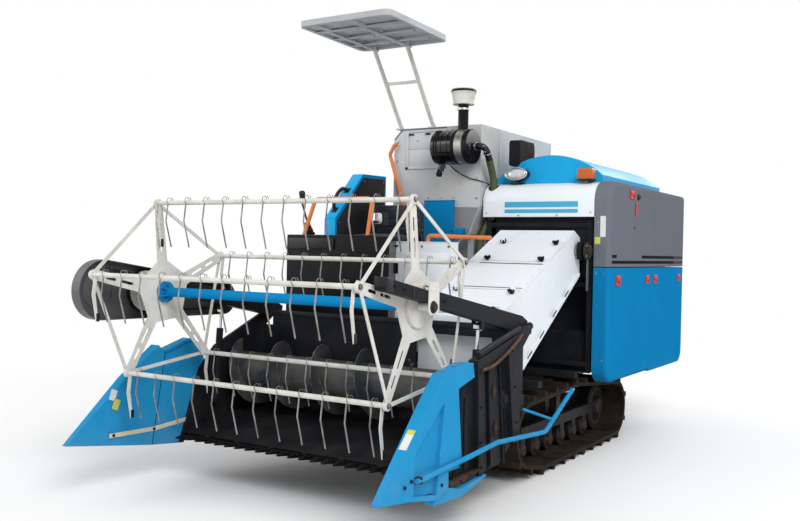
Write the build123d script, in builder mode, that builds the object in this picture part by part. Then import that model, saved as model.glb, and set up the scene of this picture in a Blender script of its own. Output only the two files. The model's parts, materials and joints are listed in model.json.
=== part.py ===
from build123d import *
from math import atan2, cos, degrees, hypot, radians, sin
import os

# Compact two-row combine harvester on rubber tracks, in millimetres.
# +X is the machine's left, -Y its front, +Z up; the ground is z = 0.

# Machine and ground
machine_x = 100  # centre plane of tracks and chassis
track_gauge = 1104  # between the centres of the two tracks
seam = 6  # gap round every door and cover that opens
seat_gap = 0.3  # gap between a moving piece and what carries it
sheet_wall = 4

# Tracks
track_width = 400
belt_thickness = 25
lug_height = 30
lug_pitch = 90
lug_root, lug_crest = 45, 28  # a lug's length along the belt at its foot and at its top
lug_reach = 0.62  # share of the belt's width that a lug covers, from alternate edges
roller_radius = 70
track_wheels = [  # y, z, radius of the wheels that the belt runs round
    (-430, 280, 180),
    (1160, 235, 180),
    (-210, 125, roller_radius),
    (370, 435, 55),
]
ground_rollers_y = [-210, 10, 230, 450, 670, 890]
wheel_width = 70
track_beam_z = (205, 275)
track_beam_y = (-235, 965)
track_beam_width = 70

# Chassis
rail_gauge = 500
rail_width = 60
rail_y = (-560, 2150)
rail_z = (400, 480)
deck_z = 600  # top of the cross members that carry the body
crossmember_y = [-330, 280, 640, 1500, 2080]
crossmember_width = 60
crossmember_x = (-880, 860)

# Threshing body
body_x = (10, 880)
body_y = (560, 2200)
body_top = 1905
front_cover_x = (14, 877)
front_cover_y = (510, 660)
front_cover_z = (1660, 1910)
front_cover_round = 140
top_cover_y = (660, 2060)
top_cover_x = (30, 880)
top_cover_crown_x = 480
top_cover_right, top_cover_crown, top_cover_left = 20, 213, 60  # heights over the body's top
shaft_flange_radius = 62
hood_y = (2200, 2389)

# Operator station
station_x = (-900, 0)
floor_y = (-620, 10)
floor_z = (deck_z, deck_z + 40)
panel_y = (-630, -250)
panel_top = 1484
panel_wall = 20
panel_left = -125  # where the panel's bevelled left end turns back
panel_bevel = (75, 70)  # its width and depth
rail_feet_x = (-790, -262)  # of the hand rail over the panel
engine_cover_y = (20, 470)
engine_cover_top = 1230
screen_slot_count, screen_slot_pitch = 11, 46
console_x = (-890, -800)
blue_box_x = (-456, -210)
blue_box_depth = 30
blue_box_top = 1785
seat_x = (-760, -350)
seat_depth = 365
seat_cushion_z = (1400, 1510)
seat_back_y = (215, 300)
seat_back_top = 1740
seat_stand_inset = 60
lever_foot = (-790, -560)  # x, y
lever_knob_x = -855
service_box_x = (-255, 206)
service_box_y = (-300, -215)
service_box_top = 1452
side_rail_x = (-19, 455)
side_rail_y, side_rail_z = -330, 1490

# Grain tank and bagging deck
tank_x = (-765, 0)
tank_y = (480, 1810)
tank_top = 2350
tank_eave = 2271  # top of the tank's outer wall
outlet_y = [800, 1150, 1500]
deck_y = (530, 1790)
deck_height = 450
deck_rod_radius = 10

# Canopy
canopy_x = (-870, -120)
canopy_y = (-630, 170)
canopy_z = (2925, 2965)  # underside and top at the front edge
canopy_fall = 15
canopy_lip = 30
canopy_post_x = (-730, -440)
canopy_post_foot_y, canopy_post_head_y = 530, 100

# Air intake and exhaust
air_cleaner_x = (-295, 6)
air_cleaner_radius = 122
air_cleaner_ridge = 5
air_cleaner_y = tank_y[0] - air_cleaner_radius - air_cleaner_ridge - 2
air_cleaner_z = 2170
pre_cleaner_x = -85
pre_cleaner_rise = (310, 408)  # its bowl's foot and top over the air cleaner's axis
pre_cleaner_radius = (72, 92)
hose_radius = 25
hose_bend = 45
hose_hole_room = 16
hose_pocket_z = 1300
hose_route = [(6, air_cleaner_y, air_cleaner_z), (105, air_cleaner_y, air_cleaner_z), (64, 580, 1940),
              (62, 590, 1656),
              (-25, 560, 1540), (-30, 530, 1100), (-30, engine_cover_y[1], 1100)]
muffler_x, muffler_y, muffler_z = (150, 240), (650, 915), (2048, 2239)

# Side covers
cover_x = (880.3, 1000)
cover_y = (510, 2386)
cover_split_y = 1443
cover_split_z = 1309
cover_bottom = 500
cover_bend = 35
cover_top = 1915

# Header lift and feeder house
lift_pivot = (420, 1420)  # y, z of the feeder house's hinge
lift_shaft_radius = 25
feeder_x = (230, 790)
feeder_top = [(-738, 1037), (367, 1558)]  # y, z of the top sheet's ends
lid_x = (322, 786)
lid_spans = [(-20, 311), (690, 1040)]  # along the top sheet, from its front end
header_half_width = 965
header_end_clearance = 20.5  # from the auger's shaft ends to the middle of the side plates
post_depth = 35
side_plate_thickness = 20
header_back_y = -835
knife_y, knife_z = -1581, 250
auger_y, auger_z = -1080, 600
auger_tube_radius = 120
auger_flight_radius = 205
auger_flight_pitch = 320
auger_flight_wall = 4
finger_radius = 6
finger_reach = 190  # from the auger's axis
trough_clearance = 40
floor_slope = 10
guard_count = 24  # fingers of the cutter bar

# Reel
reel_y, reel_z = -1830, 1128
reel_radius = 513
reel_half_width = header_half_width - 109
star_thickness = 5
star_web_radius = 205
star_arm_root, star_arm_tip = 42, 27  # half widths of a star arm
star_slots = [(235, 330), (360, 430)]  # lightening slots, as radii
star_slot_width = 16
tip_boss_radius = 24
stay_size = (20, 5)
bar_count = 5
first_bar_angle = 96.31  # of the top bar, from +Y towards +Z
bar_radius = 13
reel_tube_radius = 27
reel_shaft_radius = 20
tine_length = 250
tine_kink = (0.42, -14)  # share of the length, and how far the wire bends forward there
tine_sweep = 30  # how far the tip stands behind the bar
tine_radius = 4
tines_per_bar = 12
tine_margin = 75  # from a bar's end to its first wire tine
end_tine = (22, 6)  # the flat tines at a bar's ends
arm_x = (header_half_width - 85, header_half_width - 25)
arm_sleeve_y = -1786  # where the thin front arm enters the deeper rear sleeve
arm_front_height, arm_sleeve_height, arm_rear_height = 56, 74, 100
arm_pivot = (-746, 976)  # y, z
arm_front = (-2234, 1246)

# Cylinders
lift_foot = (150, 530)  # y, z of the header cylinder's lower pin
lift_eye = (-430, 640)
lift_cylinder_x = 275
lift_pin_radius = 12
lift_eye_play = 8  # the rod's eye drifts round its pin as the header lifts
reel_foot = (-1335, 430)
reel_eye = (-1290, 1002)
reel_pin_radius = 8
reel_eye_play = 6.5
ear_thickness = 8

# Overall width, set by the guide tube on the left and the drive guard on the right
guide_radius = 13
divider_width = 63
divider_recess = 22
half_width = header_half_width + divider_width + 2 * guide_radius

# Reel drive
pulley_x = (-arm_x[1] - 90, -arm_x[1] - 60)
reel_pulley_radius = 118
drive_pulley_radius = 60
drive_pulley = (-1180, 1065)  # y, z
guard_front = (-2147, 1140)
guard_front_radius = 170
guard_rear_radius = 105
guard_depth = 65
belt_wall = 8


def block(x, y, z, mode=Mode.ADD):
    """A box between the low and high value on each axis."""
    with Locations(((x[0] + x[1]) / 2, (y[0] + y[1]) / 2, (z[0] + z[1]) / 2)):
        Box(x[1] - x[0], y[1] - y[0], z[1] - z[0], mode=mode)


def side_profile(points, x, mode=Mode.ADD):
    """A closed outline of (y, z) points, carried across from x[0] to x[1]."""
    with BuildSketch(Plane.YZ.offset(x[0])) as outline:
        with BuildLine():
            Polyline(*points, close=True)
        make_face()
    extrude(outline.sketch, amount=x[1] - x[0], mode=mode)


def front_profile(points, y, mode=Mode.ADD):
    """A closed outline of (x, z) points, carried back from y[0] to y[1]."""
    with BuildSketch(Plane.XZ.offset(-y[0])) as outline:
        with BuildLine():
            Polyline(*points, close=True)
        make_face()
    extrude(outline.sketch, amount=y[0] - y[1], mode=mode)


def plan_profile(points, z, mode=Mode.ADD):
    """A closed outline of (x, y) points, carried up from z[0] to z[1]."""
    with BuildSketch(Plane.XY.offset(z[0])) as outline:
        with BuildLine():
            Polyline(*points, close=True)
        make_face()
    extrude(outline.sketch, amount=z[1] - z[0], mode=mode)


def rod(start, end, radius, mode=Mode.ADD):
    """A round bar between two points."""
    axis = Vector(*end) - Vector(*start)
    with BuildSketch(Plane(origin=start, z_dir=axis)) as section:
        Circle(radius)
    extrude(section.sketch, amount=axis.length, mode=mode)


def cross_rod(x, y, z, radius, mode=Mode.ADD):
    """A round bar across the machine from x[0] to x[1]."""
    rod((x[0], y, z), (x[1], y, z), radius, mode)


def bent_tube(points, bend_radius, radius, mode=Mode.ADD):
    """A round tube along straight runs joined by arcs."""
    with BuildLine() as route:
        FilletPolyline(*points, radius=bend_radius)
    start = Plane(origin=points[0], z_dir=Vector(*points[1]) - Vector(*points[0]))
    with BuildSketch(start) as section:
        Circle(radius)
    sweep(section.sketch, path=route.wire(), mode=mode)


def save(piece, name):
    """Label one finished piece and write it as a STEP file."""
    piece.label = name
    export_step(piece, f"parts/{name}.step")


def loop(wheels, x, extra, mode=Mode.ADD):
    """What a belt round (y, z, radius) wheels encloses, grown by extra, from x[0] to x[1]."""
    with BuildSketch(Plane.YZ.offset(x[0])) as outline:
        for y, z, radius in wheels:
            with Locations((y, z)):
                Circle(radius + extra)
        make_hull()
    extrude(outline.sketch, amount=x[1] - x[0], mode=mode)


os.makedirs("parts", exist_ok=True)

# ---------------------------------------------------------------- tracks
track_x = {"left": machine_x + track_gauge / 2, "right": machine_x - track_gauge / 2}
rail_x = {"left": machine_x + rail_gauge / 2, "right": machine_x - rail_gauge / 2}
outer_sign = {"left": 1, "right": -1}

carried_wheels = track_wheels[1:] + [(y, track_wheels[2][1], roller_radius) for y in ground_rollers_y[1:]]

for side, centre in track_x.items():
    belt_x = (centre - track_width / 2, centre + track_width / 2)
    with BuildSketch(Plane.YZ) as belt_outline:
        for y, z, radius in track_wheels:
            with Locations((y, z)):
                Circle(radius + belt_thickness - 1)
        make_hull()
    belt_line = belt_outline.sketch.face().outer_wire()
    lug_count = 2 * round(belt_line.length / lug_pitch / 2)
    with BuildPart() as track:
        loop(track_wheels, belt_x, belt_thickness)
        for i in range(lug_count):
            foot, along = belt_line @ (i / lug_count), belt_line % (i / lug_count)
            away = Vector(0, along.Z, -along.Y)
            if away.dot(foot - belt_line.center()) < 0:
                away = -away
            crest = foot + away * (lug_height + 1)
            corners = [foot - along * (lug_root / 2), crest - along * (lug_crest / 2),
                       crest + along * (lug_crest / 2), foot + along * (lug_root / 2)]
            reach = lug_reach * track_width
            lug_x = (belt_x[0], belt_x[0] + reach) if i % 2 else (belt_x[1] - reach, belt_x[1])
            side_profile([(c.Y, c.Z) for c in corners], lug_x)
        loop(track_wheels, belt_x, seat_gap, Mode.SUBTRACT)
    save(track.part, f"track_{side}")

    beam_x = (centre - track_beam_width / 2, centre + track_beam_width / 2)
    wheel_x = (centre - wheel_width / 2, centre + wheel_width / 2)
    cheek = 12
    cheeks_x = [(wheel_x[0] - seat_gap - cheek, wheel_x[0] - seat_gap),
                (wheel_x[1] + seat_gap, wheel_x[1] + seat_gap + cheek)]
    with BuildPart() as track_frame:
        block(beam_x, track_beam_y, track_beam_z)
        for cheek_x in cheeks_x:
            for y in ground_rollers_y:
                block(cheek_x, (y - 35, y + 35), (125 - 25, track_beam_z[1]))
            block(cheek_x, (track_beam_y[1] - 90, 1160 + 30), (205, 265))
            block(cheek_x, (370 - 35, 370 + 35), (track_beam_z[0], 435 + 25))
            block((cheek_x[0] - 1, cheek_x[1] + 1), track_beam_y, track_beam_z)
        for y in ground_rollers_y:
            cross_rod((cheeks_x[0][0], cheeks_x[1][1]), y, 125, 15)
        cross_rod((cheeks_x[0][0], cheeks_x[1][1]), 1160, 235, 20)
        cross_rod((cheeks_x[0][0], cheeks_x[1][1]), 370, 435, 15)
        for y, z, radius in carried_wheels:
            cross_rod((wheel_x[0] - seat_gap, wheel_x[1] + seat_gap), y, z, radius - 0.2)
    save(track_frame.part, f"track_frame_{side}")

# ---------------------------------------------------------------- drive
gearbox_x = (machine_x - 110, machine_x + 110)
drive_y, drive_z, drive_radius = track_wheels[0]
axle_radius = 25
with BuildPart() as gearbox:
    block(gearbox_x, (drive_y - 110, drive_y + 120), (drive_z - 110, rail_z[0]))
    for side, centre in track_x.items():
        inner = centre - outer_sign[side] * (wheel_width / 2 + 5)
        cross_rod(sorted((machine_x, inner)), drive_y, drive_z, 55)
    for centre in track_x.values():
        cross_rod((centre - wheel_width / 2, centre + wheel_width / 2), drive_y, drive_z, drive_radius - 0.2)
    cross_rod((track_x["right"] - 50, track_x["left"] + 50), drive_y, drive_z, axle_radius)
save(gearbox.part, "drive_axle")

# ---------------------------------------------------------------- chassis
tie_y = [0, 800]
with BuildPart() as rails:
    for x in rail_x.values():
        block((x - rail_width / 2, x + rail_width / 2), rail_y, rail_z)
    # bracket for the header cylinder's lower pin
    bracket_y = (lift_foot[0] - 30, lift_foot[0] + 30)
    for x in (lift_cylinder_x - 42, lift_cylinder_x + 30):
        block((x, x + 12), bracket_y, (rail_z[0] - 20, lift_foot[1] + 25))
    block((rail_x["right"], rail_x["left"]), bracket_y, (rail_z[0] - 20, rail_z[0] + 40))
    cross_rod((lift_cylinder_x - 42, lift_cylinder_x + 42), *lift_foot, lift_pin_radius)
    # rear drawbar with a vertical pin hole
    block((rail_x["right"], rail_x["left"]), (rail_y[1] - 60, rail_y[1]), rail_z)
    block((machine_x - 50, machine_x + 50), (rail_y[1], rail_y[1] + 110), (430, 450))
    rod((machine_x, rail_y[1] + 70, 420), (machine_x, rail_y[1] + 70, 460), 13, Mode.SUBTRACT)
save(rails.part, "chassis_rails")

with BuildPart() as crossmembers:
    for y in crossmember_y:
        member_y = (y - crossmember_width / 2, y + crossmember_width / 2)
        block(crossmember_x, member_y, (deck_z - 40, deck_z))
        for x in rail_x.values():
            block((x - 20, x + 20), member_y, (rail_z[1], deck_z))
    # ties between the two track frames, under the rails
    for y in tie_y:
        block((track_x["right"] + track_beam_width / 2 + 14, track_x["left"] - track_beam_width / 2 - 14),
              (y - 35, y + 35), track_beam_z)
        for x in rail_x.values():
            block((x - rail_width / 2, x + rail_width / 2), (y - 35, y + 35), (track_beam_z[1], rail_z[0]))
    # rail that the bagging deck hinges on
    block((crossmember_x[0] - 12, crossmember_x[0]), (520, 1800), (deck_z - 40, deck_z))
    # gap that the header cylinder swings through
    block((rail_x["right"] + 30, rail_x["left"] - 20), (crossmember_y[0] - 40, crossmember_y[0] + 40),
          (rail_z[1], deck_z + 1), Mode.SUBTRACT)
save(crossmembers.part, "crossmembers")

# ---------------------------------------------------------------- threshing body
with BuildPart() as thresher:
    side_profile([(front_cover_y[1], body_top), (front_cover_y[1], 1655), (body_y[0], 1655),
                  (body_y[0], 1240),
                  (700, 1000), (700, 860), (600, 850), (600, deck_z), (body_y[1], deck_z),
                  (body_y[1], body_top)],
                 body_x)
    # posts and shaft that carry the feeder house
    for x in (feeder_x[0] - 40, feeder_x[1] + 20):
        block((x, x + 20), (lift_pivot[0] - 45, body_y[0]), (lift_pivot[1] - 60, lift_pivot[1] + 60))
    cross_rod((feeder_x[0] - 40, feeder_x[1] + 85), *lift_pivot, lift_shaft_radius)
    cross_rod((feeder_x[1] + 20, feeder_x[1] + 50), *lift_pivot, shaft_flange_radius)
    # corner that the intake hose passes through
    block((body_x[0] - 1, body_x[0] + 90), (body_y[0] - 1, front_cover_y[1] - 30), (hose_pocket_z, 1656),
          Mode.SUBTRACT)
save(thresher.part, "thresher_body")

with BuildPart() as front_cover:
    block(front_cover_x, front_cover_y, front_cover_z)
    front_edges = front_cover.edges().filter_by(Axis.X).group_by(Axis.Y)[0]
    fillet(front_edges.sort_by(Axis.Z)[-1:], front_cover_round)
    offset(amount=-sheet_wall, openings=front_cover.faces().sort_by(Axis.Z)[0])
    rod((*hose_route[2][:2], front_cover_z[1] - front_cover_round / 2),
        (*hose_route[2][:2], front_cover_z[1] + 1),
        hose_radius + hose_hole_room, Mode.SUBTRACT)
save(front_cover.part, "front_cover")

with BuildPart() as top_cover:
    with BuildSketch(Plane.XZ.offset(-top_cover_y[0])) as arch:
        with BuildLine():
            ThreePointArc((top_cover_x[0], body_top + top_cover_right),
                          (top_cover_crown_x, body_top + top_cover_crown),
                          (top_cover_x[1], body_top + top_cover_left))
            Polyline((top_cover_x[1], body_top + top_cover_left), (top_cover_x[1], body_top),
                     (top_cover_x[0], body_top),
                     (top_cover_x[0], body_top + top_cover_right))
        make_face()
    extrude(amount=-(top_cover_y[1] - top_cover_y[0]))
save(top_cover.part, "top_cover")

with BuildPart() as straw_hood:
    side_profile([(hood_y[0], 700), (hood_y[0], 1850), (hood_y[1] - 80, 1700), (hood_y[1], 900),
                  (hood_y[1], 700)],
                 (body_x[0] + 40, body_x[1] - 20))
    side_profile([(hood_y[0] - 5, 690), (hood_y[0] + 5, 1500), (hood_y[1] - 50, 1400), (hood_y[1] - 20, 900),
                  (hood_y[1] - 20, 690)], (body_x[0] + 60, body_x[1] - 40), Mode.SUBTRACT)
save(straw_hood.part, "straw_hood")

# ---------------------------------------------------------------- side covers
front_y, rear_y = cover_y
covers = {  # outline in y, z, the corner that is rounded and its radius
    "upper_side_cover": ([(front_y, cover_split_z + seam / 2), (front_y, cover_top), (rear_y, cover_top),
                          (rear_y, cover_split_z + seam / 2)], (front_y, cover_top), 150),
    "lower_front_cover": ([(front_y, cover_bottom), (front_y, cover_split_z - seam / 2),
                           (cover_split_y - seam / 2, cover_split_z - seam / 2),
                           (cover_split_y - seam / 2, cover_bottom)], (front_y, cover_bottom), 120),
    "lower_rear_cover": ([(cover_split_y + seam / 2, cover_bottom),
                          (cover_split_y + seam / 2, cover_split_z - seam / 2),
                          (rear_y, cover_split_z - seam / 2), (rear_y, cover_bottom)],
                          (rear_y, cover_bottom), 110),
}
for name, (outline, (corner_y, corner_z), corner_radius) in covers.items():
    with BuildPart() as cover:
        side_profile(outline, cover_x)
        corner = cover.edges().filter_by(Axis.X).filter_by_position(Axis.Y, corner_y - 1, corner_y + 1)
        fillet(corner.filter_by_position(Axis.Z, corner_z - 1, corner_z + 1), corner_radius)
        if corner_y == front_y:
            bend = cover.faces().sort_by(Axis.X)[-1].edges().filter_by(Axis.Z)
            fillet(bend.sort_by(Axis.Y)[0], cover_bend)
        offset(amount=-sheet_wall, openings=cover.faces().sort_by(Axis.X)[0])
    save(cover.part, name)

# ---------------------------------------------------------------- engine and operator station
with BuildPart() as operator_floor:
    block((station_x[0], service_box_x[1]), floor_y, floor_z)
    block((station_x[0] - 25, station_x[0]), (-500, -200), (400, 430))
    for y in (-480, -240):
        block((station_x[0] - 10, station_x[0]), (y, y + 20), (400, floor_z[1]))
save(operator_floor.part, "operator_floor")

with BuildPart() as front_panel:
    front, back = panel_y[0], service_box_y[0]
    right, box_right = station_x[0] - 25, service_box_x[0]
    bevel_y = front + panel_bevel[1]
    plan_profile([(right, front), (panel_left - panel_bevel[0], front), (panel_left, bevel_y),
                  (box_right + 20, back),
                  (box_right, back), (panel_left - panel_wall - 4, bevel_y + 8),
                  (panel_left - panel_bevel[0] - 8, front + panel_wall), (right, front + panel_wall)],
                 (floor_z[1], panel_top))
save(front_panel.part, "front_panel")

with BuildPart() as service_box:
    block(service_box_x, service_box_y, (floor_z[1], service_box_top))
    fillet(service_box.edges().filter_by(Axis.Z), 12)
save(service_box.part, "service_box")

with BuildPart() as engine:
    block((-700, -120), (80, 430), (deck_z, 1120))
save(engine.part, "engine_block")

with BuildPart() as engine_cover:
    block(station_x, engine_cover_y, (deck_z, engine_cover_top))
    block((station_x[0] + sheet_wall, station_x[1] - sheet_wall),
          (engine_cover_y[0] + sheet_wall, engine_cover_y[1] - sheet_wall),
          (deck_z, engine_cover_top - sheet_wall), Mode.SUBTRACT)
    block(blue_box_x, (engine_cover_y[1] - blue_box_depth, engine_cover_y[1]),
          (engine_cover_top - sheet_wall, blue_box_top))
    # radiator screen on the outer side
    block((station_x[0] - 14, station_x[0]), (engine_cover_y[0] + 30, engine_cover_y[1] - 30),
          (deck_z + 60, engine_cover_top - 60))
    for i in range(screen_slot_count):
        z = deck_z + 95 + i * screen_slot_pitch
        block((station_x[0] - 15, station_x[0] - 8), (engine_cover_y[0] + 50, engine_cover_y[1] - 50),
              (z, z + screen_slot_pitch / 2), Mode.SUBTRACT)
save(engine_cover.part, "engine_cover")

with BuildPart() as seat:
    block((seat_x[0] + seat_stand_inset, seat_x[1] - seat_stand_inset),
          (engine_cover_y[0] + 30, seat_back_y[0]), (engine_cover_top, seat_cushion_z[0] + 1))
    block(seat_x, (seat_back_y[0] - seat_depth, seat_back_y[0]), seat_cushion_z)
    block((seat_x[0] + 10, seat_x[1] - 10), (seat_back_y[0] - 5, seat_back_y[1]),
          (seat_cushion_z[0], seat_back_top))
save(seat.part, "seat")

with BuildPart() as side_console:
    side_profile([(-241, floor_z[1]), (-241, 1618), (102, 1962), (423, 1968), (423, engine_cover_top),
                  (15, engine_cover_top), (15, floor_z[1])], console_x)
    side_profile([(-205, 1560), (-205, 1600), (110, 1915), (375, 1920), (375, 1870), (125, 1865),
                  (-160, 1585)],
                 (console_x[1] - 6, console_x[1] + 1), Mode.SUBTRACT)
save(side_console.part, "side_console")

with BuildPart() as handrails:
    rail_radius = 14
    rail_feet_y = panel_y[0] + 15
    for x in rail_feet_x:
        rod((x, rail_feet_y, panel_top), (x, rail_feet_y, panel_top + 6), rail_radius + 4)
    bent_tube([(rail_feet_x[0], rail_feet_y, panel_top + 5), (-712, rail_feet_y + 20, 1737),
               (-240, rail_feet_y + 20, 1735), (rail_feet_x[1], rail_feet_y, panel_top + 5)], 40, rail_radius)
    # rail beside the operator, over the service box
    bent_tube([(side_rail_x[0], service_box_y[0] + 60, service_box_top),
               (side_rail_x[0], side_rail_y + 90, side_rail_z + 10),
               (side_rail_x[0] + 60, side_rail_y + 90, side_rail_z + 10),
               (side_rail_x[1], side_rail_y + 90, side_rail_z)],
              25, rail_radius)
    # upright rail in front of the tank
    upright_y = tank_y[0] - 30
    bent_tube([(-665, upright_y, engine_cover_top), (-665, upright_y, 1790), (-785, upright_y, 2150),
               (-745, upright_y, 2230), (-745, tank_y[0], 2230)], 25, rail_radius)
save(handrails.part, "handrails")

with BuildPart() as lever:
    rod((*lever_foot, panel_top), (*lever_foot, panel_top + 50), 26)
    rod((*lever_foot, panel_top + 50), (lever_knob_x + 2, lever_foot[1], 1710), 7)
    rod((lever_knob_x + 2, lever_foot[1], 1710), (lever_knob_x, lever_foot[1], 1770), 17)
    block((lever_foot[0] - 34, lever_foot[0] + 34), (panel_y[0] + panel_wall, lever_foot[1] + 40),
          (panel_top - 12, panel_top))
save(lever.part, "steering_lever")

# ---------------------------------------------------------------- grain tank and its outlets
with BuildPart() as grain_tank:
    front_profile([(tank_x[1], tank_top), (tank_x[1], 1750), (-80, 1530), (-500, 1250), (tank_x[0], 1150),
                   (tank_x[0], tank_eave), (tank_x[0] + 75, tank_top)], tank_y)
    for y in (600, 1690):
        for x in (-690, -120):
            block((x - 25, x + 25), (y - 25, y + 25), (deck_z, 1600))
save(grain_tank.part, "grain_tank")

with BuildPart() as outlets:
    for y in outlet_y:
        block((-900, tank_x[0]), (y - 60, y + 60), (1160, 1260))
        block((-930, -900), (y - 45, y + 45), (1130, 1230))
save(outlets.part, "bagging_outlets")

deck_pivot_x = crossmember_x[0] - 12 - seat_gap - deck_rod_radius
deck_pivot_z = deck_z - 12
with BuildPart() as bagging_deck:
    block((deck_pivot_x - 10, deck_pivot_x + 10), deck_y, (deck_z + 10, deck_z + 10 + deck_height))
    rod((deck_pivot_x, deck_y[0], deck_pivot_z), (deck_pivot_x, deck_y[1], deck_pivot_z), deck_rod_radius)
    for y in (deck_y[0] + 30, 1140, deck_y[1] - 70):
        block((deck_pivot_x - 10, deck_pivot_x), (y, y + 40), (deck_pivot_z, deck_z + 20))
save(bagging_deck.part, "bagging_deck")

# ---------------------------------------------------------------- canopy
with BuildPart() as canopy:
    low, high = canopy_z
    side_profile([(canopy_y[0], low), (canopy_y[1], low - canopy_fall), (canopy_y[1], high - canopy_fall),
                  (canopy_y[0], high)], canopy_x)
    fillet(canopy.edges().filter_by(Axis.Z), 60)
    # hollow underside, inside a lip all round
    block((canopy_x[0] + canopy_lip, canopy_x[1] - canopy_lip),
          (canopy_y[0] + canopy_lip, canopy_y[1] - canopy_lip),
          (low - canopy_fall - 1, low + 8), Mode.SUBTRACT)
    for x in canopy_post_x:
        block((x - 25, x + 25), (canopy_y[0] + canopy_lip - 1, canopy_y[1] - canopy_lip + 1),
              (low - 5, low + 9))
save(canopy.part, "canopy_roof")

with BuildPart() as canopy_posts:
    foot = Vector(0, canopy_post_foot_y, tank_top + 8)
    head = Vector(0, canopy_post_head_y, canopy_z[0] + 5)
    tie = foot + (head - foot) * 0.55
    for x in canopy_post_x:
        block((x - 30, x + 30), (foot.Y - 30, foot.Y + 30), (tank_top, foot.Z))
        rod((x, foot.Y, foot.Z), (x, head.Y, head.Z), 16)
    cross_rod(canopy_post_x, tie.Y, tie.Z, 12)
    add(canopy.part, mode=Mode.SUBTRACT)
    add(grain_tank.part, mode=Mode.SUBTRACT)
save(canopy_posts.part, "canopy_posts")


# ---------------------------------------------------------------- air intake and exhaust
with BuildPart() as air_cleaner:
    cross_rod(air_cleaner_x, air_cleaner_y, air_cleaner_z, air_cleaner_radius)
    block((-220, -120), (air_cleaner_y, tank_y[0]), (air_cleaner_z - 40, air_cleaner_z + 40))
    for x in (air_cleaner_x[0] + 70, air_cleaner_x[0] + 120):
        cross_rod((x, x + 18), air_cleaner_y, air_cleaner_z, air_cleaner_radius + air_cleaner_ridge)
    # dust ejector under the outer end
    rod((air_cleaner_x[0] + 45, air_cleaner_y, air_cleaner_z - air_cleaner_radius + 20),
        (air_cleaner_x[0] + 25, air_cleaner_y, air_cleaner_z - air_cleaner_radius - 50), 24)
    # hose down to the engine
    bent_tube(hose_route, hose_bend, hose_radius)
save(air_cleaner.part, "air_cleaner")

with BuildPart() as pre_cleaner:
    bowl_z = [air_cleaner_z + rise for rise in pre_cleaner_rise]
    rod((pre_cleaner_x, air_cleaner_y, air_cleaner_z), (pre_cleaner_x, air_cleaner_y, bowl_z[0] + 5), 38)
    cross_rod(air_cleaner_x, air_cleaner_y, air_cleaner_z, air_cleaner_radius, Mode.SUBTRACT)
    with Locations((pre_cleaner_x, air_cleaner_y, sum(bowl_z) / 2)):
        Cone(pre_cleaner_radius[0], pre_cleaner_radius[1], bowl_z[1] - bowl_z[0])
    rod((pre_cleaner_x, air_cleaner_y, bowl_z[1]), (pre_cleaner_x, air_cleaner_y, bowl_z[1] + 16),
        pre_cleaner_radius[1] - 4)
save(pre_cleaner.part, "pre_cleaner")

with BuildPart() as muffler:
    middle_y = sum(muffler_y) / 2
    block(muffler_x, muffler_y, muffler_z)
    chamfer(muffler.edges().filter_by(Axis.Y), 16)
    rod((sum(muffler_x) / 2, middle_y, body_top + 40), (sum(muffler_x) / 2, middle_y, muffler_z[0]), 26)
    add(top_cover.part, mode=Mode.SUBTRACT)
save(muffler.part, "muffler")

with BuildPart() as head_lamps:
    # oval lamp on the front cover
    block((190, 290), (585, 655), (front_cover_z[1], front_cover_z[1] + 8))
    block((225, 255), (605, 635), (front_cover_z[1], 1950))
    with BuildSketch(Plane.XZ.offset(-585)):
        with Locations((240, 1982)):
            Ellipse(88, 46)
    extrude(amount=-60)
    # square lamp on the operator's panel
    rod((-212, panel_y[0] + 10, panel_top), (-212, panel_y[0] + 10, 1588), 8)
    block((-220, -204), (panel_y[0] + 2, panel_y[0] + 75), (1572, 1588))
    block((-262, -174), (panel_y[0] + 70, panel_y[0] + 130), (1560, 1648))
save(head_lamps.part, "head_lamps")

with BuildPart() as turn_lamp:
    rod((782, 600, front_cover_z[1] - 7), (782, 600, 1930), 12)
    block((727, 837), (560, 640), (1925, 2005))
    fillet(turn_lamp.edges().filter_by(Axis.Y), 10)
    add(front_cover.part, mode=Mode.SUBTRACT)
save(turn_lamp.part, "turn_lamp")

# ---------------------------------------------------------------- feeder house and header
feeder_nose_radius = 130
with BuildPart() as feeder:
    side_profile([(header_back_y + 75, 1010), *feeder_top, (lift_pivot[0] + 60, 1510),
                  (lift_pivot[0] + 60, 1272), (-466, 680), (header_back_y + 75, 520)], feeder_x)
    cross_rod(feeder_x, *lift_pivot, lift_shaft_radius + seat_gap, Mode.SUBTRACT)
    # lugs for the lift cylinder's upper pin
    for x in (lift_cylinder_x - 42, lift_cylinder_x + 30):
        side_profile([(-480, 680), (-330, 780), (lift_eye[0] + 25, lift_eye[1] - 22),
                      (lift_eye[0] - 25, lift_eye[1] - 22)], (x, x + 12))
    cross_rod((lift_cylinder_x - 42, lift_cylinder_x + 42), *lift_eye, lift_pin_radius)
    # flange along the lower edge of each side
    for x in (feeder_x[0] - 16, feeder_x[1] - 1):
        side_profile([(-466, 680), (lift_pivot[0] + 30, 1245), (lift_pivot[0] + 30, 1268), (-478, 702)],
                     (x, x + 17))
save(feeder.part, "feeder_house")

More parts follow.
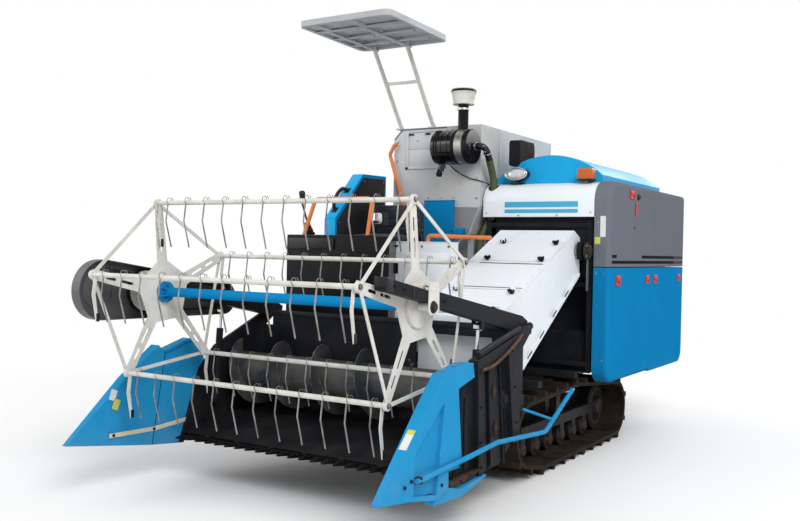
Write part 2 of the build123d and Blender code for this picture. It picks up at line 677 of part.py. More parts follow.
with BuildPart() as feeder_lids:
    top_rise = (feeder_top[1][1] - feeder_top[0][1]) / (feeder_top[1][0] - feeder_top[0][0])
    top_lean = atan2(top_rise, 1)
    for low_end, high_end in lid_spans:
        lid_plane = Plane(origin=(0, *feeder_top[0]), x_dir=(1, 0, 0),
                          z_dir=(0, -sin(top_lean), cos(top_lean)))
        with BuildSketch(lid_plane) as lid_outline:
            with Locations((sum(lid_x) / 2, (low_end + high_end) / 2)):
                Rectangle(lid_x[1] - lid_x[0], high_end - low_end)
        extrude(lid_outline.sketch, amount=sheet_wall)
        knobs = [(x, along) for x in (lid_x[0] + 35, lid_x[1] - 40) for along in (low_end + 45,
                                                                                  high_end - 50)]
        with BuildSketch(lid_plane.offset(sheet_wall)) as knob_stems:
            with Locations(*knobs):
                Circle(8)
        extrude(knob_stems.sketch, amount=14)
        with BuildSketch(lid_plane.offset(sheet_wall + 14)) as knob_heads:
            with Locations(*knobs):
                RegularPolygon(19, 5)
        extrude(knob_heads.sketch, amount=20)
save(feeder_lids.part, "feeder_lids")

plate_x = {"left": (header_half_width - side_plate_thickness, header_half_width),
           "right": (-header_half_width, -header_half_width + side_plate_thickness)}
pan_x = (-header_half_width + side_plate_thickness, header_half_width - side_plate_thickness)
trough_radius = auger_flight_radius + trough_clearance
tangent_y = auger_y + trough_radius * sin(radians(floor_slope))
tangent_z = auger_z - trough_radius * cos(radians(floor_slope))
lip_y = -1575
lip_z = tangent_z - (tangent_y - lip_y) * sin(radians(floor_slope)) / cos(radians(floor_slope))
pan_wall = 6
back_top = 955
top_pipe_radius = 24
with BuildPart() as header_pan:
    with BuildSketch(Plane.YZ.offset(pan_x[0])) as pan_section:
        with BuildLine():
            floor_line = Line((lip_y, lip_z), (tangent_y, tangent_z))
            curve = RadiusArc((tangent_y, tangent_z), (auger_y + trough_radius, auger_z), -trough_radius)
            wall_line = Line((auger_y + trough_radius, auger_z), (auger_y + trough_radius, back_top))
            offset(amount=pan_wall, side=Side.RIGHT)
        make_face()
    extrude(amount=pan_x[1] - pan_x[0])
    # top beam between the reel arms, and the notches that clear them
    notch_inner = arm_x[0] - 12
    block((-notch_inner, notch_inner), (auger_y + trough_radius, auger_y + trough_radius + 40),
          (back_top - 50, back_top))
    cross_rod((-notch_inner, notch_inner), auger_y + trough_radius + 20, back_top, top_pipe_radius)
    for notch_x in ((pan_x[0], -notch_inner), (notch_inner, pan_x[1])):
        block(notch_x, (auger_y + trough_radius - 20, auger_y + trough_radius + 60), (880, back_top + 30),
              Mode.SUBTRACT)
    # rear beam across, behind the trough
    block(pan_x, (auger_y + trough_radius + pan_wall, header_back_y + 75), (520, 580))
    # inlet to the feeder house
    block((feeder_x[0] + 20, feeder_x[1] - 20), (auger_y + trough_radius - 60, header_back_y + 80),
          (590, 900),
          Mode.SUBTRACT)
    # frame round the inlet that the feeder house bolts to
    for x in (feeder_x[0] - 30, feeder_x[1] + 10):
        block((x, x + 20), (auger_y + trough_radius + pan_wall, header_back_y + 75), (520, 960))
save(header_pan.part, "header_pan")

pan_back_y = auger_y + trough_radius + pan_wall
plate_outline = {
    "left": [(-1584, 200), (-1555, 690), (-1455, 843), (-871, 968), (-800, 985), (-791, 965),
             (pan_back_y, 900),
             (pan_back_y, 560), (-870, 430), (-885, 385), (-1114, 251), (-1282, 244)],
    "right": [(-1584, 200), (-1429, 638), (-1300, 771), (-853, 960), (-800, 950), (pan_back_y, 880),
              (pan_back_y, 560), (-860, 450), (-1040, 330)],
}
plates = {}
for side in ("left", "right"):
    with BuildPart() as plate:
        side_profile(plate_outline[side], plate_x[side])
        outside = sorted((outer_sign[side] * header_half_width,
                          outer_sign[side] * (header_half_width + post_depth)))
        if side == "left":
            side_profile([(-1455, 843), (-1415, 850), (-1381, 250), (-1421, 250)], outside)
            side_profile([(-1100, 900), (-1020, 920), (-930, 391), (-1010, 345)], outside)
            side_profile([(-1455, 843), (-800, 985), (-800, 940), (-1415, 776)], outside)
        # ear that carries the reel arm's hinge
        side_profile([(pan_back_y - 5, 860), (pan_back_y - 5, 945), (arm_pivot[0] + 28, arm_pivot[1] + 20),
                      (arm_pivot[0] + 28, arm_pivot[1] - 30)], plate_x[side])
        cross_rod(sorted((outer_sign[side] * (arm_x[0] - 5), outer_sign[side] * header_half_width)),
                  *arm_pivot, 15)
        cross_rod(sorted((outer_sign[side] * (arm_x[0] + 10), outer_sign[side] * header_half_width)),
                  *reel_foot,
                  reel_pin_radius)
    save(plate.part, f"header_side_{side}")
    plates[side] = plate.part


def pan_underside(y):
    """Height of the underside of the header's sloping floor."""
    slope = radians(floor_slope)
    return lip_z + (y - lip_y) * sin(slope) / cos(slope) - pan_wall / cos(slope)


with BuildPart() as cutter_bar:
    bar_half = header_half_width - 35
    block((-bar_half, bar_half), (knife_y - 30, knife_y + 41), (knife_z - 14, knife_z - 4))
    side_profile([(knife_y + 21, knife_z - 14), (knife_y + 21, pan_underside(knife_y + 21)),
                  (knife_y + 41, pan_underside(knife_y + 41)), (knife_y + 41, knife_z - 14)],
                  (-bar_half, bar_half))
    guard_span = 2 * (bar_half - 40)
    for i in range(guard_count):
        x = -guard_span / 2 + i * guard_span / (guard_count - 1)
        side_profile([(knife_y - 25, knife_z - 16), (knife_y - 95, knife_z - 6), (knife_y - 95, knife_z),
                      (knife_y - 40, knife_z + 12), (knife_y - 28, knife_z - 4)], (x - 9, x + 9))
save(cutter_bar.part, "cutter_bar")

with BuildPart() as knife:
    knife_half = bar_half - 60
    block((-knife_half, knife_half), (knife_y - 10, knife_y + 15), (knife_z - 4 + seat_gap, knife_z + 2))
save(knife.part, "knife")

divider_outline = {
    "right": [(-2389, 306), (-1797, 218), (-1542, 190), (-1491, 341), (-1370, 392), (-1347, 608),
              (-1420, 790),
              (-1504, 828), (-1716, 768), (-1760, 804), (-2009, 631)],
    # sloped beam with its top block
    "left": [(-2389, 310), (-2389, 318), (-1859, 815), (-1658, 850), (-1563, 845), (-1544, 773), (-1718, 731),
             (-1832, 696), (-2097, 488), (-2112, 278)],
}
rib_outline = [(-1840, 700), (-1710, 735), (-1665, 389), (-1690, 350), (-1795, 350), (-1792, 270),
               (-1896, 237),
               (-2120, 278), (-2120, 300), (-1905, 262)]
sheet_outline = [(-2115, 290), (-2100, 495), (-1835, 700), (-1850, 262)]
skid_outline = [(-1896, 238), (-1792, 272), (-1640, 232), (-1363, 250), (-1363, 238), (-1632, 190),
                (-1900, 205)]
for side in ("left", "right"):
    s = outer_sign[side]
    root, tip = s * header_half_width, s * (header_half_width + divider_width)
    wide = sorted((root, tip))
    with BuildPart() as divider:
        side_profile(divider_outline[side], wide)
        if side == "left":
            side_profile(rib_outline, wide)
            side_profile(sheet_outline, (root, tip - divider_recess))
            side_profile(skid_outline, (root, root + 45))
        nose = s * (header_half_width + 35)
        plan_profile([(nose - 15, -2400), (nose + 15, -2400), (tip, -2000), (tip, -1300), (root, -1300),
                      (root, -2000)] if s > 0 else
                     [(nose - 15, -2400), (nose + 15, -2400), (root, -2000), (root, -1300), (tip, -1300),
                      (tip, -2000)], (0, 1000), Mode.INTERSECT)
    save(divider.part, f"divider_{side}")

guide_x = half_width - guide_radius
with BuildPart() as guide_tube:
    bent_tube([(guide_x, -2110, 368), (guide_x, -1596, 390), (guide_x, -1300, 408), (guide_x, -666, 363),
               (guide_x, -256, 558)], 120, guide_radius)
    rod((header_half_width + post_depth, -890, 520), (guide_x, -560, 420), 8)
    add(plates["left"], mode=Mode.SUBTRACT)
save(guide_tube.part, "guide_tube")

with BuildPart() as auger:
    tube_half = header_half_width - 50
    shaft_half = header_half_width - header_end_clearance
    cross_rod((-tube_half, tube_half), auger_y, auger_z, auger_tube_radius)
    cross_rod((-shaft_half, shaft_half), auger_y, auger_z, 20)
    # flights that bring the crop to the feeder house from both ends
    flight_middle = (auger_tube_radius - 6 + auger_flight_radius) / 2
    flight_runs = [(-tube_half + 2, feeder_x[0] + tube_half, False),
                   (feeder_x[1], tube_half - 2 - feeder_x[1], True)]
    for start_x, run, left_handed in flight_runs:
        helix = Helix(pitch=auger_flight_pitch, height=run, radius=flight_middle,
                      center=(start_x, auger_y, auger_z),
                      direction=(1, 0, 0), lefthand=left_handed)
        foot = helix @ 0
        with BuildSketch(Plane(origin=foot, x_dir=foot - Vector(start_x, auger_y, auger_z),
                               z_dir=helix % 0)) as section:
            Rectangle(auger_flight_radius - auger_tube_radius + 6, auger_flight_wall)
        sweep(section.sketch, path=helix, is_frenet=True)
    # fingers that push the crop into the feeder house
    finger_rows = [(feeder_x[0] + 70 + i * 105, 40 + i * 72) for i in range(5)]  # x, angle
    for x, turn in finger_rows:
        reach_y, reach_z = finger_reach * cos(radians(turn)), finger_reach * sin(radians(turn))
        rod((x, auger_y, auger_z), (x, auger_y + reach_y, auger_z + reach_z), finger_radius)
        rod((x, auger_y, auger_z), (x, auger_y - reach_y, auger_z - reach_z), finger_radius)
save(auger.part, "auger")

# ---------------------------------------------------------------- reel arms, reel and tine bars
arm_lean = atan2(arm_front[1] - arm_pivot[1], arm_pivot[0] - arm_front[0])
with BuildPart() as reel_arms:
    for side in ("left", "right"):
        s = outer_sign[side]
        arm_sides = sorted((s * arm_x[0], s * arm_x[1]))
        lean = Vector(0, cos(arm_lean), -sin(arm_lean))
        lift = Vector(0, sin(arm_lean), cos(arm_lean))
        front, pivot = Vector(0, *arm_front), Vector(0, *arm_pivot)
        sleeve = front + lean * ((arm_sleeve_y - arm_front[0]) / cos(arm_lean))
        heights = [(front, arm_front_height), (sleeve, arm_front_height), (sleeve, arm_sleeve_height),
                   (pivot - lean * 60, arm_rear_height), (pivot + lean * 22, 60)]
        edge = [place + lift * (height / 2) for place, height in heights]
        edge += [place - lift * (height / 2) for place, height in reversed(heights)]
        side_profile([(point.Y, point.Z) for point in edge], arm_sides)
        cross_rod(arm_sides, *arm_pivot, 15 + seat_gap, Mode.SUBTRACT)
        cross_rod(arm_sides, reel_y, reel_z, reel_shaft_radius + seat_gap, Mode.SUBTRACT)
        # ears for the lift cylinder's upper pin
        for x in sorted((s * arm_x[0], s * arm_x[1] - s * ear_thickness)):
            ear_x = sorted((x, x + s * ear_thickness))
            block(ear_x, (reel_eye[0] - 18, reel_eye[0] + 18), (reel_eye[1] - 16, reel_eye[1] + 60))
        cross_rod(arm_sides, *reel_eye, reel_pin_radius)
    # pulley that drives the reel's belt
    cross_rod(pulley_x, *drive_pulley, drive_pulley_radius)
    cross_rod((pulley_x[0], -arm_x[1]), *drive_pulley, 14)
save(reel_arms.part, "reel_arms")

reel_belt_wheels = [(reel_y, reel_z, reel_pulley_radius), (*drive_pulley, drive_pulley_radius)]
with BuildPart() as reel_belt:
    belt_x = (pulley_x[0] + 4, pulley_x[1] - 4)
    loop(reel_belt_wheels, belt_x, belt_wall + seat_gap)
    loop(reel_belt_wheels, belt_x, seat_gap, Mode.SUBTRACT)
save(reel_belt.part, "reel_belt")

guard_wheels = [(*guard_front, guard_front_radius), (*drive_pulley, guard_rear_radius)]
guard_x = (-half_width, -half_width + guard_depth)
with BuildPart() as guard:
    loop(guard_wheels, guard_x, 0)
    loop(guard_wheels, (guard_x[0] + sheet_wall, guard_x[1] + 1), -sheet_wall, Mode.SUBTRACT)
    for y, z in ((-2150, 1236), (-1500, 1116)):
        cross_rod((guard_x[0] + 1, -arm_x[1]), y, z, 10)
save(guard.part, "reel_drive_guard")

bar_angles = [first_bar_angle - k * 360 / bar_count for k in range(bar_count)]
bar_places = [(reel_y + reel_radius * cos(radians(a)),
               reel_z + reel_radius * sin(radians(a))) for a in bar_angles]
star_inner = reel_half_width - star_thickness
boss_outer = reel_half_width + 12
with BuildPart() as reel:
    cross_rod((pulley_x[0] - 5, -star_inner), reel_y, reel_z, reel_shaft_radius)
    cross_rod((star_inner, arm_x[1] + 3), reel_y, reel_z, reel_shaft_radius)
    cross_rod(pulley_x, reel_y, reel_z, reel_pulley_radius)
    cross_rod((reel_half_width, reel_half_width + 6), reel_y, reel_z, 110)
    for s in (-1, 1):
        star_x = sorted((s * star_inner, s * reel_half_width))
        with BuildSketch(Plane.YZ.offset(star_x[0])) as star:
            with Locations((reel_y, reel_z)):
                RegularPolygon(star_web_radius, bar_count, rotation=first_bar_angle)
                with PolarLocations(0, bar_count, start_angle=first_bar_angle):
                    Polygon((0, star_arm_root), (0, -star_arm_root), (reel_radius + 12, -star_arm_tip),
                            (reel_radius + 12, star_arm_tip), align=None)
                for inner, outer in star_slots:
                    with PolarLocations((inner + outer) / 2, bar_count, start_angle=first_bar_angle):
                        SlotOverall(outer - inner, star_slot_width, mode=Mode.SUBTRACT)
        extrude(star.sketch, amount=star_thickness)
        boss_x = sorted((s * star_inner, s * boss_outer))
        stay_x = sorted((s * (reel_half_width + 6), s * (boss_outer - 1)))
        for k, (y, z) in enumerate(bar_places):
            cross_rod(boss_x, y, z, tip_boss_radius)
            # flat stay to the next arm's tip
            along = (Vector(0, *bar_places[k - 1]) - Vector(0, y, z)).normalized()
            across = Vector(0, -along.Z, along.Y) * (stay_size[0] / 2)
            near, far = Vector(0, y, z) + along * 15, Vector(0, *bar_places[k - 1]) - along * 15
            side_profile([(c.Y, c.Z) for c in (near + across, far + across, far - across, near - across)],
                         stay_x)
        for y, z in bar_places:
            cross_rod(boss_x, y, z, bar_radius - 3 + seat_gap, Mode.SUBTRACT)
save(reel.part, "reel")

with BuildPart() as reel_tube:
    cross_rod((-star_inner, star_inner), reel_y, reel_z, reel_tube_radius)
    for flange_x in ((-star_inner, -star_inner + 20), (star_inner - 12, star_inner)):
        cross_rod(flange_x, reel_y, reel_z, 60)
save(reel_tube.part, "reel_tube")

for k, (y, z) in enumerate(bar_places):
    with BuildPart() as tine_bar:
        inner = star_inner - 0.5
        cross_rod((-inner, inner), y, z, bar_radius)
        cross_rod((-boss_outer + 2, boss_outer - 2), y, z, bar_radius - 3)
        kink_share, kink_y = tine_kink
        kink_z = z - kink_share * tine_length
        for i in range(tines_per_bar):
            x = -inner + tine_margin + i * 2 * (inner - tine_margin) / (tines_per_bar - 1)
            rod((x, y, z), (x, y + kink_y, kink_z), tine_radius)
            rod((x, y + kink_y, kink_z + tine_radius / 2), (x, y + tine_sweep, z - tine_length), tine_radius)
        # flat tine at each end
        half, thick = end_tine[0] / 2, end_tine[1]
        for x in (-inner + 12, inner - 12 - thick):
            side_profile([(y - half, z), (y + kink_y - half, kink_z),
                          (y + tine_sweep / 2 - half, z - tine_length),
                          (y + tine_sweep / 2 + half / 2, z - tine_length), (y + kink_y + half, kink_z),
                          (y + half, z)],
                         (x, x + thick))
    save(tine_bar.part, f"tine_bar_{k + 1}")


# ---------------------------------------------------------------- cylinders
def cylinder(foot, eye, x, radii, pin, eye_play, width, barrel_share, name):
    """Barrel and rod between two cross pins given as (y, z); radii are the barrel's and the rod's."""
    barrel_radius, rod_radius = radii
    start, end = Vector(x, *foot), Vector(x, *eye)
    length = (end - start).length
    along = (end - start).normalized()
    mouth = start + along * (length * barrel_share)
    boss_x = (x - width / 2, x + width / 2)
    eye_radius = pin + eye_play + 7
    with BuildPart() as barrel:
        cross_rod(boss_x, *foot, pin + 10)
        rod(start + along * (pin + 4), mouth, barrel_radius)
        cross_rod((boss_x[0] - 20, boss_x[1] + 20), *foot, pin + seat_gap, Mode.SUBTRACT)
        rod(start + along * 40, mouth + along, rod_radius + 1, Mode.SUBTRACT)
    save(barrel.part, f"{name}_barrel")
    with BuildPart() as piston_rod:
        cross_rod(boss_x, *eye, eye_radius)
        rod(start + along * 150, end - along * (pin + eye_play + 2), rod_radius)
        rod(start + along * 150, start + along * 180, rod_radius + 0.7)
        cross_rod((boss_x[0] - 20, boss_x[1] + 20), *eye, pin + eye_play, Mode.SUBTRACT)
    save(piston_rod.part, f"{name}_rod")


cylinder(lift_foot, lift_eye, lift_cylinder_x, (30, 18), lift_pin_radius, lift_eye_play, 54, 0.72,
         "header_lift")
for side in ("left", "right"):
    cylinder(reel_foot, reel_eye, outer_sign[side] * (arm_x[0] + arm_x[1]) / 2, (19, 9), reel_pin_radius,
             reel_eye_play, 34, 0.75, f"reel_lift_{side}")
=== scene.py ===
import bpy
import bmesh
import json
from math import atan, atan2, cos, exp, hypot, pi, radians, sin, tan
from mathutils import Matrix, Vector


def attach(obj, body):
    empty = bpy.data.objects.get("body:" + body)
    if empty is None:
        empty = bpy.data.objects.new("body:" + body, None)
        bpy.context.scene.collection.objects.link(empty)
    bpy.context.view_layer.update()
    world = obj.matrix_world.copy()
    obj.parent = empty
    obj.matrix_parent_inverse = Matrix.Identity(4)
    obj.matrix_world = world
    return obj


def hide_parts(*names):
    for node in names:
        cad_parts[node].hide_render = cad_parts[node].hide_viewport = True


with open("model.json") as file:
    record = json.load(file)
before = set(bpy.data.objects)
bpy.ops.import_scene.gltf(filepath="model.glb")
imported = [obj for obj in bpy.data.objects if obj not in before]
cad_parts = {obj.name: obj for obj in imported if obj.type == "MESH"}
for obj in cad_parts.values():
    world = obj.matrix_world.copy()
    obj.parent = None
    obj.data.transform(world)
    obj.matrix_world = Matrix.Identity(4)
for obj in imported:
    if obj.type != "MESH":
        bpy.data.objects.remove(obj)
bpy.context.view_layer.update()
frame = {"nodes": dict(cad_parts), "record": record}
nodes = frame["nodes"]
scene = bpy.context.scene
bpy.ops.object.select_all(action="DESELECT")
print("frame loaded:", len(nodes), "nodes")

# camera, at the angle from the machine's front left
view = {"place": (3.092, -5.567, 1.388), "yaw": 0.559, "pitch": -0.0097, "roll": 0.0208, "lens": 40.85}
forward = Vector((-sin(view["yaw"]) * cos(view["pitch"]), cos(view["yaw"]) * cos(view["pitch"]),
    sin(view["pitch"])))
level = Vector((cos(view["yaw"]), sin(view["yaw"]), 0))
upright = level.cross(forward)
turnedRight = level * cos(view["roll"]) + upright * sin(view["roll"])
turnedUp = upright * cos(view["roll"]) - level * sin(view["roll"])
cameraData = bpy.data.cameras.new("studioCamera")
cameraData.lens = view["lens"]
cameraData.sensor_width = 36
cameraData.clip_end = 200
camera = bpy.data.objects.new("studioCamera", cameraData)
scene.collection.objects.link(camera)
camera.matrix_world = Matrix.Translation(view["place"]) @ Matrix((turnedRight, turnedUp,
    -forward)).transposed().to_4x4()
scene.camera = camera
print("camera set")


def addMath(shaderNodes, operation):
    node = shaderNodes.new("ShaderNodeMath")
    node.operation = operation
    return node


# light and floor
studio = {"skyStrength": 0.55, "keyPower": 700, "floorSize": 60, "fadeReach": (2.6, 6.0)}
scene.view_settings.view_transform = "Standard"
world = bpy.data.worlds.new("studioWorld")
scene.world = world
world.use_nodes = True
worldNodes, worldLinks = world.node_tree.nodes, world.node_tree.links
lightPath = worldNodes.new("ShaderNodeLightPath")
seen, seenToo = addMath(worldNodes, "MAXIMUM"), addMath(worldNodes, "MAXIMUM")
worldLinks.new(lightPath.outputs["Is Camera Ray"], seen.inputs[0])
worldLinks.new(lightPath.outputs["Is Glossy Ray"], seen.inputs[1])
worldLinks.new(seen.outputs[0], seenToo.inputs[0])
worldLinks.new(lightPath.outputs["Is Transmission Ray"], seenToo.inputs[1])
strength = worldNodes.new("ShaderNodeMapRange")
strength.inputs["To Min"].default_value = studio["skyStrength"]
strength.inputs["To Max"].default_value = 1.0
worldLinks.new(seenToo.outputs[0], strength.inputs["Value"])
worldLinks.new(strength.outputs[0], worldNodes["Background"].inputs["Strength"])
worldNodes["Background"].inputs["Color"].default_value = (1, 1, 1, 1)

lamps = [  # name, place, aim, size, power share of the key
    ("keyLamp", (6.5, -6.0, 7.0), (0, 0, 0.8), 5.0, 1.0),
    ("fillLamp", (-7.0, -5.5, 4.5), (0, 0, 1.0), 6.0, 0.45),
    ("backLamp", (2.0, 7.5, 6.0), (0, 0, 1.0), 6.0, 0.5),
]
for name, place, aim, size, share in lamps:
    lampData = bpy.data.lights.new(name, "AREA")
    lampData.size = size
    lampData.energy = studio["keyPower"] * share
    lamp = bpy.data.objects.new(name, lampData)
    scene.collection.objects.link(lamp)
    lamp.location = place
    lamp.rotation_euler = (Vector(aim) - Vector(place)).to_track_quat("-Z", "Y").to_euler()

bpy.ops.mesh.primitive_plane_add(size=studio["floorSize"], location=(0, 0, 0))
floor = bpy.context.object
floor.name = "studioFloor"
floorMaterial = bpy.data.materials.new("floorPale")
floorMaterial.use_nodes = True
floorNodes, floorLinks = floorMaterial.node_tree.nodes, floorMaterial.node_tree.links
floorShader = floorNodes["Principled BSDF"]
floorShader.inputs["Base Color"].default_value = (0.86, 0.86, 0.86, 1)
floorShader.inputs["Roughness"].default_value = 0.9
# far from the machine the floor fades to the backdrop's white where it is looked at
floorCoords = floorNodes.new("ShaderNodeTexCoord")
floorReach = floorNodes.new("ShaderNodeVectorMath")
floorReach.operation = "LENGTH"
floorFade = floorNodes.new("ShaderNodeMapRange")
floorFade.interpolation_type = "SMOOTHSTEP"
floorFade.inputs["From Min"].default_value, floorFade.inputs["From Max"].default_value = studio["fadeReach"]
floorPath = floorNodes.new("ShaderNodeLightPath")
floorSeen, floorShare = addMath(floorNodes, "MAXIMUM"), addMath(floorNodes, "MULTIPLY")
floorGlow = floorNodes.new("ShaderNodeEmission")
floorGlow.inputs["Strength"].default_value = 1.0
floorMix = floorNodes.new("ShaderNodeMixShader")
floorLinks.new(floorCoords.outputs["Object"], floorReach.inputs[0])
floorLinks.new(floorReach.outputs["Value"], floorFade.inputs["Value"])
floorLinks.new(floorPath.outputs["Is Camera Ray"], floorSeen.inputs[0])
floorLinks.new(floorPath.outputs["Is Glossy Ray"], floorSeen.inputs[1])
floorLinks.new(floorFade.outputs["Result"], floorShare.inputs[0])
floorLinks.new(floorSeen.outputs["Value"], floorShare.inputs[1])
floorLinks.new(floorShare.outputs["Value"], floorMix.inputs["Fac"])
floorLinks.new(floorShader.outputs["BSDF"], floorMix.inputs[1])
floorLinks.new(floorGlow.outputs["Emission"], floorMix.inputs[2])
floorLinks.new(floorMix.outputs["Shader"], floorNodes["Material Output"].inputs["Surface"])
floor.data.materials.append(floorMaterial)
print("light and floor set")


def link(material, outNode, outName, inNode, inName):
    material.node_tree.links.new(outNode.outputs[outName], inNode.inputs[inName])


def noiseNode(material, coords, scale, detail=4.0, stretch=(1, 1, 1), roughness=0.55):
    mapping = material.node_tree.nodes.new("ShaderNodeMapping")
    mapping.inputs["Scale"].default_value = stretch
    noise = material.node_tree.nodes.new("ShaderNodeTexNoise")
    noise.inputs["Scale"].default_value = scale
    noise.inputs["Detail"].default_value = detail
    noise.inputs["Roughness"].default_value = roughness
    link(material, coords, "Object", mapping, "Vector")
    link(material, mapping, "Vector", noise, "Vector")
    return noise


def rampNode(material, low, high):
    ramp = material.node_tree.nodes.new("ShaderNodeMapRange")
    ramp.inputs["From Min"].default_value = low
    ramp.inputs["From Max"].default_value = high
    return ramp


def mixNode(material, factor, first, second):
    # factor is a float output; first and second are colours or colour outputs
    mix = material.node_tree.nodes.new("ShaderNodeMix")
    mix.data_type = "RGBA"
    material.node_tree.links.new(factor, mix.inputs["Factor"])
    for socket, value in ((mix.inputs[6], first), (mix.inputs[7], second)):
        if isinstance(value, (tuple, list)):
            socket.default_value = (*value, 1)
        else:
            material.node_tree.links.new(value, socket)
    return mix


def multiply(material, first, second):
    product = addMath(material.node_tree.nodes, "MULTIPLY")
    product.use_clamp = True
    for socket, value in ((product.inputs[0], first), (product.inputs[1], second)):
        if isinstance(value, (int, float)):
            socket.default_value = value
        else:
            material.node_tree.links.new(value, socket)
    return product


finishes = {}


def finish(name, colour, fade, rough, **more):
    # one procedural material: patchy colour, specks, dust that settles low down, worn edges, fine bump
    look = {"fadeShare": 0.5, "patch": 3.0, "dust": (0.32, 0.27, 0.2), "dustHeights": (0.9, 0.1),
        "dustShare": 0.0, "speck": None, "speckShare": 0.0, "speckScale": 60, "metal": 0.0, "grain": 220,
        "bump": 0.04, "coat": 0.0, "specular": 0.2, "edge": None, "edgeShare": 0.0, "edgeWidth": 0.003,
        "sheen": 0.0, **more}
    material = bpy.data.materials.new(name)
    material.use_nodes = True
    tree = material.node_tree
    shader = tree.nodes["Principled BSDF"]
    coords = tree.nodes.new("ShaderNodeTexCoord")
    shader.inputs["Metallic"].default_value = look["metal"]
    shader.inputs["Coat Weight"].default_value = look["coat"]
    shader.inputs["Coat Roughness"].default_value = 0.12
    shader.inputs["Specular IOR Level"].default_value = look["specular"]
    if look["sheen"]:
        shader.inputs["Sheen Weight"].default_value = look["sheen"]
    patches = noiseNode(material, coords, look["patch"], 5)
    patchRange = rampNode(material, 0.42, 0.62)
    link(material, patches, "Fac", patchRange, "Value")
    fadeFactor = multiply(material, patchRange.outputs["Result"], look["fadeShare"])
    colour = mixNode(material, fadeFactor.outputs[0], colour, fade).outputs[2]
    if look["speckShare"]:
        specks = noiseNode(material, coords, look["speckScale"], 2)
        speckRange = rampNode(material, 0.6, 0.72)
        link(material, specks, "Fac", speckRange, "Value")
        speckFactor = multiply(material, speckRange.outputs["Result"], look["speckShare"])
        colour = mixNode(material, speckFactor.outputs[0], colour, look["speck"]).outputs[2]
    if look["dustShare"]:
        height = tree.nodes.new("ShaderNodeSeparateXYZ")
        link(material, coords, "Object", height, "Vector")
        low = rampNode(material, look["dustHeights"][0], look["dustHeights"][1])
        link(material, height, "Z", low, "Value")
        dustNoise = noiseNode(material, coords, 9, 6)
        dustRange = rampNode(material, 0.35, 0.7)
        link(material, dustNoise, "Fac", dustRange, "Value")
        lowShare = multiply(material, low.outputs["Result"], dustRange.outputs["Result"])
        dustFactor = multiply(material, lowShare.outputs[0], look["dustShare"])
        colour = mixNode(material, dustFactor.outputs[0], colour, look["dust"]).outputs[2]
    if look["edgeShare"]:
        bevel = tree.nodes.new("ShaderNodeBevel")
        bevel.samples = 4
        bevel.inputs["Radius"].default_value = look["edgeWidth"]
        geometry = tree.nodes.new("ShaderNodeNewGeometry")
        turn = tree.nodes.new("ShaderNodeVectorMath")
        turn.operation = "DOT_PRODUCT"
        link(material, bevel, "Normal", turn, 0)
        link(material, geometry, "Normal", turn, 1)
        edgeRange = rampNode(material, 0.97, 0.8)
        link(material, turn, "Value", edgeRange, "Value")
        chips = noiseNode(material, coords, 35, 4)
        chipRange = rampNode(material, 0.45, 0.6)
        link(material, chips, "Fac", chipRange, "Value")
        chipped = multiply(material, edgeRange.outputs["Result"], chipRange.outputs["Result"])
        edgeFactor = multiply(material, chipped.outputs[0], look["edgeShare"])
        colour = mixNode(material, edgeFactor.outputs[0], colour, look["edge"]).outputs[2]
    tree.links.new(colour, shader.inputs["Base Color"])
    roughRange = rampNode(material, 0, 1)
    roughRange.inputs["To Min"].default_value, roughRange.inputs["To Max"].default_value = rough
    link(material, patchRange, "Result", roughRange, "Value")
    link(material, roughRange, "Result", shader, "Roughness")
    grain = noiseNode(material, coords, look["grain"], 3)
    bump = tree.nodes.new("ShaderNodeBump")
    bump.inputs["Strength"].default_value = look["bump"]
    bump.inputs["Distance"].default_value = 0.002
    link(material, grain, "Fac", bump, "Height")
    if look["edgeShare"]:
        tree.links.new(bevel.outputs["Normal"], bump.inputs["Normal"])
    link(material, bump, "Normal", shader, "Normal")
    finishes[name] = material


finish("bluePaint", (0.006, 0.2, 0.45), (0.006, 0.182, 0.41), (0.32, 0.45), patch=2.2, specular=0.0, bump=0.02,
    dustShare=0.25, dustHeights=(0.6, 0.1), edge=(0.35, 0.5, 0.6), edgeShare=0.3)
finish("topBlue", (0.014, 0.35, 0.68), (0.014, 0.32, 0.63), (0.3, 0.4), patch=1.6, specular=0.06, bump=0.02)
finish("stripeBlue", (0.06, 0.36, 0.56), (0.055, 0.33, 0.52), (0.35, 0.45), specular=0.12, bump=0.01)
finish("coverGrey", (0.146, 0.156, 0.184), (0.134, 0.142, 0.166), (0.36, 0.5), specular=0.0, bump=0.02,
    patch=1.5, edge=(0.5, 0.5, 0.5), edgeShare=0.2)
finish("whitePaint", (0.72, 0.765, 0.81), (0.67, 0.7, 0.72), (0.25, 0.4), patch=1.6, specular=0.15, bump=0.02,
    dustShare=0.22, dustHeights=(1.2, 0.4), edge=(0.35, 0.33, 0.3), edgeShare=0.2)
finish("tankPaint", (0.5, 0.515, 0.525), (0.43, 0.43, 0.42), (0.42, 0.6), fadeShare=0.7, patch=2.2, bump=0.04,
    specular=0.15, dustShare=0.2, dustHeights=(2.4, 1.2), speck=(0.32, 0.27, 0.22), speckShare=0.12,
    speckScale=24, edge=(0.22, 0.14, 0.08), edgeShare=0.3)
finish("canopyPaint", (0.4, 0.415, 0.43), (0.33, 0.34, 0.35), (0.45, 0.6), fadeShare=0.7, patch=3, bump=0.05,
    specular=0.15, grain=160, edge=(0.6, 0.6, 0.6), edgeShare=0.2)
finish("reelPaint", (0.63, 0.625, 0.59), (0.53, 0.51, 0.45), (0.4, 0.6), fadeShare=0.8, patch=6, bump=0.05,
    specular=0.15, speck=(0.22, 0.15, 0.09), speckShare=0.22, speckScale=38, edge=(0.12, 0.08, 0.05),
    edgeShare=0.5)
